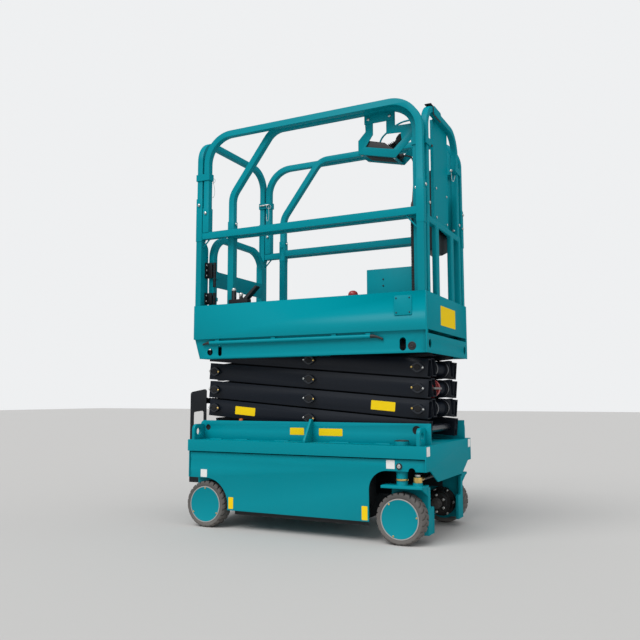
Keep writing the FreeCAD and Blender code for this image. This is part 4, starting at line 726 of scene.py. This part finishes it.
def makePinLocks():
    v = pinValues
    lean = math.radians(machine["rest"])
    step = machine["arm"] * math.sin(lean)
    reach = machine["arm"] * math.cos(lean)
    pivot, foot = machine["pivot"], machine["pivotHeight"]
    for level in (1, 2, 3, 4):
        spots = [(pivot - reach / 2, foot + step * (level - 0.5))]
        if level > 1:
            spots.append((pivot, foot + step * (level - 1)))
        if level < 4:
            spots.append((pivot - reach, foot + step * level))
        plates, gold, bright = [], [], []
        for name, side in flanks:
            for index, at in enumerate(spots):
                plates.append(addLockPlate(at, side))
                brass = -1 if index == 1 and level > 1 else 1
                for screws, way in ((gold, brass), (bright, -brass)):
                    away = way * v["screwReach"]
                    screws.append((at[0] + away * math.cos(lean), side * (v["face"] + 0.004),
                                   at[1] - away * math.sin(lean)))
        body = "outer_%d" % level
        settleSoft(joinAll("pinLocks_%d" % level, plates), 0.0012, "lockEnamel", body, 3)
        # near-black caps over the pin heads: painted shade in the hollow centres of the lock plates
        for name, side in flanks:
            addHeads("pinCaps_%d_%s" % (level, name), [(x, side * (v["face"] + 0.0026), z) for x, z in spots],
                "y", side, v["cap"], 0.0022, "hollowShade", body, 32, 0.0005)
        for title, screws, finish in (("brassScrews", gold, "passivatedGold"), ("brightScrews", bright,
            "zincSteel")):
            for name, side in flanks:
                addHeads("%s_%d_%s" % (title, level, name), [p for p in screws if p[1] * side > 0], "y", side,
                    v["screw"], 0.006, finish, body)


makePinLocks()
print("scissor pins made")

# Labels without words, each a thin film on what carries it

labelValues = {"thick": 0.0006, "round": 0.003, "door": -0.368, "wall": -0.288, "arm": -0.244}


def makeLabels():
    v = labelValues
    door, wall, arm, rest = v["door"], v["wall"], v["arm"], machine["rest"]
    rows = (("doorLabelRear", "y", door, (-0.347, 0.101), (-0.319, 0.158), "yellowFilm", "door_right", 0),
            ("doorLabelFront", "y", door, (0.384, 0.099), (0.413, 0.162), "yellowFilm", "door_right", 0),
            ("doorPlateRear", "y", door, (-0.52, 0.251), (-0.481, 0.29), "whiteFilm", "door_right", 0),
            ("doorPlateFront", "y", door, (0.507, 0.336), (0.548, 0.375), "whiteFilm", "door_right", 0),
            ("frontPlateNear", "x", 0.701, (-0.372, 0.395), (-0.326, 0.437), "whiteFilm", "chassis", 0),
            ("frontPlateFar", "x", 0.701, (0.326, 0.395), (0.372, 0.437), "whiteFilm", "chassis", 0),
            ("wallLabelRear", "y", wall, (-0.037, 0.473), (0.042, 0.508), "yellowFilm", "chassis", 0),
            ("wallLabelFront", "y", wall, (0.125, 0.472), (0.252, 0.507), "yellowFilm", "chassis", 0),
            ("armLabelRear", "y", arm, (-0.393, 0.566), (-0.27, 0.608), "yellowFilm", "outer_1", rest),
            ("armLabelFront", "y", arm, (0.384, 0.596), (0.508, 0.64), "yellowFilm", "outer_2", rest),
            ("toeBoardPlate", "x", 0.703, (-0.125, 1.004), (0.125, 1.1), "yellowFilm", "extension", 0))
    for name, plane, face, low, high, finish, body, lean in rows:
        thick = v["thick"] if face > 0 else -v["thick"]
        settle(addPad(name, plane, face, low, high, thick, v["round"], 0, 4, lean), finish, body)


makeLabels()
print("labels made")

# Deck: pin hubs, screws of the blank cover, rubber boots at the duct's ends

deckValues = {"hub": (0.627, 0.8945), "cover": ((0.547, 1.037), (0.634, 1.129)), "coverFace": 0.35,
              "duct": (-0.343, 0.945)}


def makeDeckTrim():
    v = deckValues
    for name, side in flanks:
        hub = spinRound("deckHub_" + name, [(0.0, 0.32), (0.0195, 0.32), (0.0195, 0.3345), (0.015, 0.3355),
            (0.014, 0.3335), (0.0105, 0.3335), (0.0098, 0.3362), (0.004, 0.3362), (0.0034, 0.3345),
            (0.0, 0.3345)], v["hub"], 48, side, False)
        settleSoft(hub, 0.0004, "blackPlastic", "platform")
    low, high = v["cover"]
    screws = [(x, -v["coverFace"], z) for x in (low[0] + 0.011, high[0] - 0.011) for z in (low[1] + 0.012,
        high[1] - 0.012)]
    # the cover's screws are near black: painted shade of the recesses they sit in
    addHeads("blankCoverScrews", screws, "y", -1, 0.0036, 0.0018, "lockEnamel", "platform", 16,
        0.0005)
    y, z = v["duct"]
    for name, profile in (("front", [(0.0, 0.42), (0.009, 0.42), (0.0082, 0.44), (0.0062, 0.456),
            (0.0058, 0.486), (0.0, 0.488)]), ("rear", [(0.0, -0.488), (0.009, -0.488), (0.008, -0.506),
            (0.006, -0.518), (0.0056, -0.538), (0.0, -0.54)])):
        boot = addProfile("ductBoot_" + name, [(along, y, z + radius) for radius, along in profile])
        spinShut((0, y, z), (1, 0, 0), 32)
        for vertex in boot.data.vertices:
            # the lead droops and turns in behind the skirt's step
            far = max(0.0, abs(vertex.co.x - profile[0][1]) - 0.012)
            vertex.co.z -= far * far * 5.0
            vertex.co.y += far * far * 1.5
        settleSmooth(boot, 50, "blackPlastic", "platform")


# Chassis: door locks, kingpin cap rims, dark plugs with painted shade in the wall holes, end stop

chassisValues = {"lock": (0.57, 0.348), "plug": (-0.534, 0.502), "seat": (0.627, 0.5077),
                 "stop": (-0.337, -0.2745)}


def makeChassisTrim():
    v = chassisValues
    for name, side in flanks:
        door = "door_" + name
        bezel = spinRound("lockBezel_" + name, [(0.0095, 0.3675), (0.0145, 0.3675), (0.0145, 0.3725),
            (0.0125, 0.3745), (0.0095, 0.3745)], v["lock"], 40, side)
        settleSoft(bezel, 0.0004, "blackPlastic", door)
        barrel = spinRound("lockBarrel_" + name, [(0.0, 0.3735), (0.0088, 0.3735), (0.0088, 0.3752),
            (0.0076, 0.376), (0.0022, 0.376), (0.0018, 0.3745), (0.0, 0.3745)], v["lock"], 32, side, False)
        settleSoft(barrel, 0.0003, "zincSteel", door)
        rim = spinUp("kingpinRim_" + name, [(0.0, 0.4585), (0.0325, 0.4585), (0.0338, 0.46), (0.0325, 0.4625),
            (0.0255, 0.4635), (0.0245, 0.461), (0.0, 0.461)], (machine["frontAxle"],
            side * machine["kingpin"]), 56, False)
        settleSoft(rim, 0.0004, "blackPlastic", "chassis")
        for end, spot, wide, low, rise in (("rear", v["plug"], 0.0148, 0.2812, 0.0058), ("front", v["seat"],
                0.0197, 0.2845, 0.0034)):
            profile = [(0.0, low), (wide, low), (wide, low + rise), (wide - 0.002, low + rise),
                (wide - 0.003, low + 0.0023), (0.0, low + 0.0018)]
            # each plug is near black: painted shade inside its wall hole
            plug = spinRound("wallPlug_%s_%s" % (end, name), profile, spot, 40, side, False)
            settleSoft(plug, 0.0004, "hollowShade", "chassis")
    stop = spinUp("wallBuffer", [(0.0, 0.5375), (0.01, 0.5375), (0.0105, 0.54), (0.0095, 0.5465),
        (0.006, 0.549), (0.0, 0.5495)], v["stop"], 32, False)
    settleSmooth(stop, 50, "orangeRubber", "chassis")


makeDeckTrim()
makeChassisTrim()
print("deck and chassis trim made")

# Rails: socket bolts, braces, bands with their pins, rings and wires

railValues = {"wire": 0.0011, "bandPin": (0.671, 1.878), "knobs": {"left": "zincSteel",
              "right": "blackPlastic"}}
# name, places, axis and way, radius, height, body, corners
railBolts = (
    ("rearSocketBolts_right", ((-0.574, -0.347, 1.7), (-0.531, -0.347, 1.652)), "y", -1, 0.0085, 0.006,
     "platform", 6),
    ("rearSocketBolts_left", ((-0.574, 0.347, 1.7), (-0.531, 0.347, 1.652)), "y", 1, 0.0085, 0.006,
     "platform", 6),
    ("rearSocketNuts_left", ((-0.531, 0.309, 1.652), (-0.574, 0.309, 1.7)), "y", -1, 0.0085, 0.007,
     "platform", 6),
    ("rearSocketNuts_right", ((-0.531, -0.309, 1.652), (-0.574, -0.309, 1.7)), "y", 1, 0.0085, 0.007,
     "platform", 6),
    ("frontSocketBolts", ((0.699, -0.319, 1.652), (0.699, 0.33, 1.652), (0.699, 0.32, 1.573)), "x", 1, 0.0075,
     0.006, "platform", 18),
    ("frontPostBolts", ((0.697, -0.257, 1.58), (0.697, 0.257, 1.58)), "x", 1, 0.0075, 0.006, "extension", 18),
    ("frontPostNut", ((0.674, 0.241, 1.548),), "y", -1, 0.0065, 0.006, "extension", 6),
    ("frontSheetScrews", ((0.668, -0.05, 1.558), (0.668, -0.05, 1.708), (0.668, 0.13, 1.558),
                          (0.668, 0.13, 1.708)), "x", 1, 0.0062, 0.004, "extension", 18),
    ("frontSocketNuts_right", ((0.6605, -0.328, 1.64),), "x", -1, 0.0075, 0.007, "platform", 6),
    ("frontSocketNuts_left", ((0.6605, 0.328, 1.64),), "x", -1, 0.0075, 0.007, "platform", 6),
    ("slideSocketBolt_left", ((-0.381, 0.2795, 1.588),), "x", 1, 0.0085, 0.007, "extension", 6),
    ("slideSocketBolt_right", ((-0.381, -0.2795, 1.588),), "x", 1, 0.0085, 0.007, "extension", 6),
    ("hangerBolts", ((0.392, -0.2635, 2.04), (0.505, -0.2635, 2.04)), "y", -1, 0.0085, 0.006, "extension", 6),
)
for name, places, axis, way, radius, height, body, corners in railBolts:
    addHeads(name, places, axis, way, radius, height, "zincSteel", body, corners)


def addRod(radius, length, corners, edge, rounds, at, turn):
    # a round bar with bevelled ends
    clearAll()
    bpy.ops.mesh.primitive_cylinder_add(vertices=corners, radius=radius, depth=length, location=at,
        rotation=turn)
    rod = bpy.context.object
    bpy.ops.object.mode_set(mode="EDIT")
    bpy.ops.mesh.select_all(action="SELECT")
    bpy.ops.mesh.bevel(offset=edge, segments=rounds)
    bpy.ops.object.mode_set(mode="OBJECT")
    return rod


def addPinRing(name, at, length, body):
    # a round pin along x through the band, and its split ring
    pin = addRod(0.0042, length, 24, 0.0012, 3, at, turnTo["x"][1])
    end = Vector(at)
    end.x += length / 2 - 0.003
    clearAll()
    bpy.ops.mesh.primitive_torus_add(major_radius=0.013, minor_radius=0.0012, major_segments=40,
        minor_segments=10, location=(end.x, end.y, end.z - 0.012), rotation=(math.pi / 2, 0.3, 0.5))
    return settleSmooth(joinAll(name, [pin, bpy.context.object]), 40, "zincSteel", body)


def addBrace(name, start, end, radius, body):
    # a round bar between two points
    way = Vector(end) - Vector(start)
    bar = addRod(radius, way.length, 20, radius * 0.25, 2, (0, 0, 0), (0, 0, 0))
    bar.name = name
    middle = (Vector(start) + Vector(end)) / 2
    bar.matrix_world = Matrix.Translation(middle) @ way.to_track_quat("Z", "Y").to_matrix().to_4x4()
    return settleSmooth(bar, 40, "tealEnamel", body)


def makePins():
    v = railValues
    for name, side in flanks:
        addBrace("rearBrace_" + name, (-0.566, side * 0.328, 1.458), (-0.496, side * 0.328, 1.528), 0.004,
            "platform")
    low, high = (-0.165, 2.05), (-0.052, 2.0925)
    addPads("extension", (
        ("frontSheetFold", "x", 0.6652, (-0.083, 2.048), (0.162, 2.0612), 0.003, 0.0012, 0.0004,
         "tealEnamel", "teal"),
        ("hoopWrapEdge", "x", 0.6968, (low[0] - 0.006, low[1] - 0.006),
            (high[0] + 0.006, high[1]), 0.0034, 0.01,
         0.0008, "blackPlastic", "plastic"),
        ("hoopWrapShelf", "z", 2.0885, (0.665, -0.206), (0.699, -0.15), 0.0032, 0.003, 0.0008,
         "blackPlastic", "plastic"),
        ("hoopWrap", "x", 0.699, low, high, 0.004, 0.01, 0.001, "tealEnamel", "teal")))
    addHeads("frontBandPush", [(0.702, -0.222, 1.868)], "x", 1, 0.0065, 0.0055, "blackPlastic", "extension",
        24, 0.0015)
    wires = {"rear": ((-0.52, 0.3, 1.845), (-0.515, 0.293, 1.815), (-0.512, 0.29, 1.77),
        (-0.524, 0.292, 1.745), (-0.536, 0.3, 1.765), (-0.538, 0.306, 1.8)), "front": ((0.671, 0.227, 1.872),
        (0.674, 0.219, 1.85), (0.676, 0.215, 1.825), (0.682, 0.222, 1.812), (0.686, 0.231, 1.83),
        (0.688, 0.2405, 1.852))}
    for name, side in flanks:
        loops = {end: [(x, side * y, z) for x, y, z in points] for end, points in wires.items()}
        addPinRing("rearBandPin_" + name, (-0.5525, side * 0.3, 1.856), 0.07, "platform")
        addWire("rearBandWire_" + name, loops["rear"], v["wire"], 3, 10, "wireJacket", "platform")
        knob = spinRound("frontBandKnob_" + name, [(0.0, 0.237), (0.0035, 0.237), (0.0035, 0.231),
            (0.0068, 0.2295), (0.008, 0.226), (0.007, 0.2225), (0.004, 0.2205), (0.0, 0.22)], v["bandPin"],
            32, side, False)
        settleSmooth(knob, 40, v["knobs"][name], "extension")
        addWire("frontBandWire_" + name, loops["front"], v["wire"], 3, 10, "wireJacket", "extension")


makePins()
print("rail fittings made")

# Gate: hinges with their screws, and the knob of its bolt

# each hinge: foot and head of its leaf, foot of its pin, then the gate's own knuckle between
gateValues = {"hinges": ((1.16, 1.222, 1.156, (1.1795, 1.1985)), (1.303, 1.388, 1.254, (1.3005, 1.3415))),
              "axis": (-0.511, -0.284), "knuckle": 0.0092, "screws": (-0.552, -0.3), "knob": (-0.536, 1.3)}


def addKnuckle(name, low, high, radius, body):
    # a barrel with two fine grooves
    third = (high - low) / 3
    profile = [(0.0, low), (radius - 0.0008, low)]
    for k in range(3):
        z = low + k * third
        profile += [(radius, z + 0.0008), (radius, z + third - 0.0012), (radius - 0.001, z + third - 0.0002)]
    profile += [(radius - 0.001, high), (0.0, high)]
    barrel = spinUp(name, profile, gateValues["axis"], 32, False)
    return settleSmooth(barrel, 35, "blackPaint", body)


def makeGateTrim():
    v = gateValues
    screws = []
    for index, (low, high, foot, turning) in enumerate(v["hinges"]):
        addPads("platform", (
            ("hingeLeaf_%d" % index, "x", -0.558, (-0.31, low), (-0.284, high), 0.006, 0.004, 0.001,
             "blackPaint", "black"),
            ("hingeWing_%d" % index, "y", -0.286, (-0.5575, low), (-0.5215, high), -0.008, 0.003, 0.001,
             "blackPaint", "black")))
        addKnuckle("hingeTop_%d" % index, turning[1] + 0.001, high, v["knuckle"], "platform")
        pin = addKnuckle("hingePin_%d" % index, foot, turning[0] - 0.001, v["knuckle"] - 0.001, "platform")
        if index == 0:
            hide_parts("gate_hinges")
        addKnuckle("gateKnuckle_%d" % index, turning[0], turning[1], v["knuckle"], "gate")
        count = 2 if high - low < 0.07 else 3
        screws += [(*v["screws"], low + (high - low) * (k + 0.5) / count) for k in range(count)]
    addHeads("hingeScrews", screws, "x", 1, 0.0065, 0.004, "zincSteel", "platform", 6, 0.0005)
    knob = spinRound("gateKnob", [(0.0, 0.2555), (0.006, 0.2555), (0.006, 0.2575), (0.01, 0.259),
        (0.011, 0.2605), (0.0, 0.261)], v["knob"], 32, 1, False)
    settleSmooth(knob, 40, "blackPlastic", "gate")


makeGateTrim()

# Foot switch: two bright balls on black boots

pedalValues = {"balls": ((-0.357, 1.2225, 0.0115), (-0.312, 1.1945, 0.0112)), "y": -0.325}


def makePedalTrim():
    dressNode("foot_pedal", "blackPaint", 0.0016, 2)
    for index, (x, z, radius) in enumerate(pedalValues["balls"]):
        clearAll()
        bpy.ops.mesh.primitive_uv_sphere_add(segments=32, ring_count=20, radius=radius, location=(x,
            pedalValues["y"], z))
        ball = bpy.context.object
        ball.name = "pedalBall_%d" % index
        for vertex in ball.data.vertices:
            # the ball ends in a short neck on its boot
            if vertex.co.z < -0.7 * radius:
                vertex.co.z = -0.95 * radius
                vertex.co.x *= 1.15
                vertex.co.y *= 1.15
        bpy.ops.object.shade_smooth()
        settle(ball, "zincSteel", "platform")


makePedalTrim()
print("gate and foot switch made")

# Upper controls: joystick with its folded boot and trigger, guard hoop, a pane of painted shade and screws
# under the tray

controlValues = {"tilt": 13.4, "trayLow": 1.8474, "trayScrews": ((0.35, 0.522), (-0.246, -0.141)),
                 "stick": (0.478, -0.19, 1.889), "lean": 43, "foldPitch": 0.0075,
                 "window": ((0.368, -0.246), (0.512, -0.166)),
                 "hoop": ((0.394, -0.122, 1.95), (0.398, -0.122, 1.985), (0.446, -0.122, 2.022),
                          (0.501, -0.122, 2.052), (0.545, -0.122, 2.06), (0.64, -0.122, 2.058))}


def makeControls():
    v = controlValues
    lean = Matrix.Translation(v["stick"]) @ Matrix.Rotation(math.radians(v["lean"]), 4, "Y")
    folds = []
    for k in range(6):
        low = 0.002 + k * v["foldPitch"]
        wide = 0.04 - k * 0.004
        folds += [(wide - 0.0095, low), (wide, low + v["foldPitch"] / 2)]
    grip = [(0.0125, 0.0475), (0.0115, 0.052), (0.013, 0.06), (0.0165, 0.066), (0.0178, 0.08),
        (0.0172, 0.092), (0.014, 0.0975), (0.0, 0.099)]
    boot = spinUp("joystickBoot", [(0.0, 0.0)] + folds + grip, (0, 0), 48, False)
    boot.matrix_world = lean
    settleSmooth(boot, 50, "blackPlastic", "extension")
    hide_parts("joystick")
    clearAll()
    # the trigger stands on the front of the grip
    bpy.ops.mesh.primitive_cube_add(size=1, location=(0.0165, 0, 0.078))
    trigger = bpy.context.object
    trigger.name = "joystickTrigger"
    trigger.scale = (0.009, 0.013, 0.026)
    bpy.ops.object.transform_apply(location=True, rotation=True, scale=True)
    softEdges(trigger, 0.003, 4, 30)
    trigger.matrix_world = lean
    settle(trigger, "blackPlastic", "extension")
    addWire("guardHoop", v["hoop"], 0.0045, 5, 12, "tealEnamel", "extension")
    tilt = math.radians(v["tilt"])
    low, high = v["window"]
    # a near-black pane in the tray's opening: painted shade of the space beneath
    pane = addPad("trayPane", "z", 0.0, low, high, -0.001, 0.004, 0.0003)
    # it is turned about the middle of its length
    pane.data.transform(Matrix.Translation((-pane.location.x, 0, 0)) @ pane.matrix_world)
    pane.matrix_world = Matrix.Translation((0.44, 0, v["trayLow"])) @ Matrix.Rotation(tilt, 4, "Y")
    settle(pane, "hollowShade", "extension")
    screws = [(x, y,
        1.873 - (x - 0.333) * math.tan(tilt) - 0.0002) for x in v["trayScrews"][0] for y in v["trayScrews"][1]]
    addHeads("trayScrews", screws, "z", -1, 0.0055, 0.0035, "zincSteel", "extension", 6, 0.0004)


makeControls()

# Ribbed hose, lids and dome

boxValues = {"conduit": (0.613, -0.25), "low": 1.001, "high": 1.562, "ridge": 0.0075, "dome": (0.287, -0.23)}


def makeBoxes():
    v = boxValues
    profile = [(0.0, v["low"])]
    for k in range(int((v["high"] - v["low"]) / v["ridge"])):
        z = v["low"] + k * v["ridge"]
        profile += [(0.0098, z + 0.0002), (0.012, z + 0.0018), (0.012, z + 0.0046), (0.0098, z + 0.0062)]
    profile += [(0.011, v["high"] + 0.001), (0.0115, v["high"] + 0.006), (0.0098, v["high"] + 0.01),
        (0.0098, 1.582), (0.007, 1.592), (0.0055, 1.596), (0.0, 1.596)]
    hose = spinUp("ribbedHose", profile, v["conduit"], 24, False)
    settleSmooth(hose, 35, "blackPlastic", "extension")
    addPads("extension", (("hoseClip", "z", 1.518, (0.6, -0.2635), (0.626, -0.2375), 0.018, 0.004, 0.0008,
                           "blackPaint", "black"),))
    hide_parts("corrugated_conduit")
    addHeads("outletScrews", [(0.443, -0.215, z) for z in (1.203, 1.235)], "y", -1, 0.0042, 0.002,
        "blackPaint", "extension", 12, 0.0003)
    addPads("extension", (
        ("manualLid", "x", 0.5925, (-0.07, 1.752), (0.186, 1.784), -0.006, 0.006, 0.0015,
         "blackPlastic", "plastic"),
        ("manualCatch", "x", 0.5868, (0.04, 1.738), (0.068, 1.766), -0.004, 0.003, 0.001,
         "blackPlastic", "plastic")))
    dome = spinUp("domeCap", [(0.0, 1.001), (0.017, 1.001), (0.017, 1.15), (0.0205, 1.156), (0.0245, 1.162),
        (0.0245, 1.168), (0.0225, 1.176), (0.017, 1.183), (0.009, 1.1865), (0.0, 1.1875)], v["dome"], 48,
        False)
    settleSmooth(dome, 40, "redPaint", "extension")
    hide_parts("warning_dome")


makeBoxes()
print("controls and boxes made")

# Red ring's face and sleeve, the strap across it, and the rims of the spools

ringValues = {"height": 0.70108, "spools": (0.60439, 0.70108, 0.79778)}


def makeRingTrim():
    height = ringValues["height"]
    pivot = machine["pivot"]
    face = spinRound("ringFace", [(0.0325, 0.053), (0.0455, 0.053), (0.046, 0.057), (0.046, 0.071),
        (0.0455, 0.075), (0.04, 0.075), (0.039, 0.0738), (0.0365, 0.0738), (0.0355, 0.075), (0.0325, 0.075)],
        (pivot, height), 64, -1)
    settleSoft(face, 0.0005, "redPaint", "inner_2")
    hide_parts("red_ring")
    sleeve = spinRound("ringSleeve", [(0.0322, 0.0955), (0.0438, 0.0955), (0.0442, 0.0965), (0.0442, 0.098),
        (0.043, 0.099), (0.04, 0.099), (0.0394, 0.0982), (0.037, 0.0982), (0.0364, 0.099), (0.0345, 0.099),
        (0.0345, 0.165), (0.0322, 0.165)], (pivot, height), 64, -1)
    settleSoft(sleeve, 0.0004, "redPaint", "inner_2")
    addPads("inner_2", (("ringStrap", "x", 0.6595, (-0.155, height - 0.005),
        (-0.04, height + 0.005), 0.016, 0.003,
                         0.001, "dullGrey", "steel"),))
    for level, spool in enumerate(ringValues["spools"], 1):
        for name, side in flanks:
            if level == 2 and side < 0:
                # the red ring sits here
                continue
            rim = spinRound("spoolRim_%d_%s" % (level, name), [(0.0385, 0.0825), (0.0446, 0.0825),
                (0.0453, 0.084), (0.0453, 0.096), (0.0446, 0.0975), (0.0385, 0.0975)], (pivot, spool), 56,
                side)
            settleSoft(rim, 0.0008, "lockEnamel", "inner_%d" % level, 3)


makeRingTrim()

# Ladder: punched treads

ladderValues = {"rungs": (0.232, 0.432, 0.64), "rows": (-0.689, -0.673), "half": 0.205, "studs": 15,
                "rise": 0.015}


def makeTreads():
    v = ladderValues
    for index, rung in enumerate(v["rungs"]):
        spots = [(x, -v["half"] + 2 * v["half"] * (k + 0.5) / v["studs"],
            rung + v["rise"]) for k in range(v["studs"]) for x in v["rows"]]
        addHeads("treadStuds_%d" % index, spots, "z", 1, 0.0045, 0.0022, "blackPaint", "chassis", 10,
            0.0006)


makeTreads()
print("ladder treads made")

# Floor

clearAll()
bpy.ops.mesh.primitive_plane_add(size=lightValues["floorSize"], location=(0, 0, -lightValues["floorDrop"]))
floor = bpy.context.object
floor.name = "studioFloor"
floorPaint = bpy.data.materials.new("paleFloor")
floorPaint.use_nodes = True
floorShader = floorPaint.node_tree.nodes["Principled BSDF"]
floorShader.inputs["Base Color"].default_value = (*lightValues["floor"], 1)
floorShader.inputs["Roughness"].default_value = 0.9
floor.data.materials.append(floorPaint)
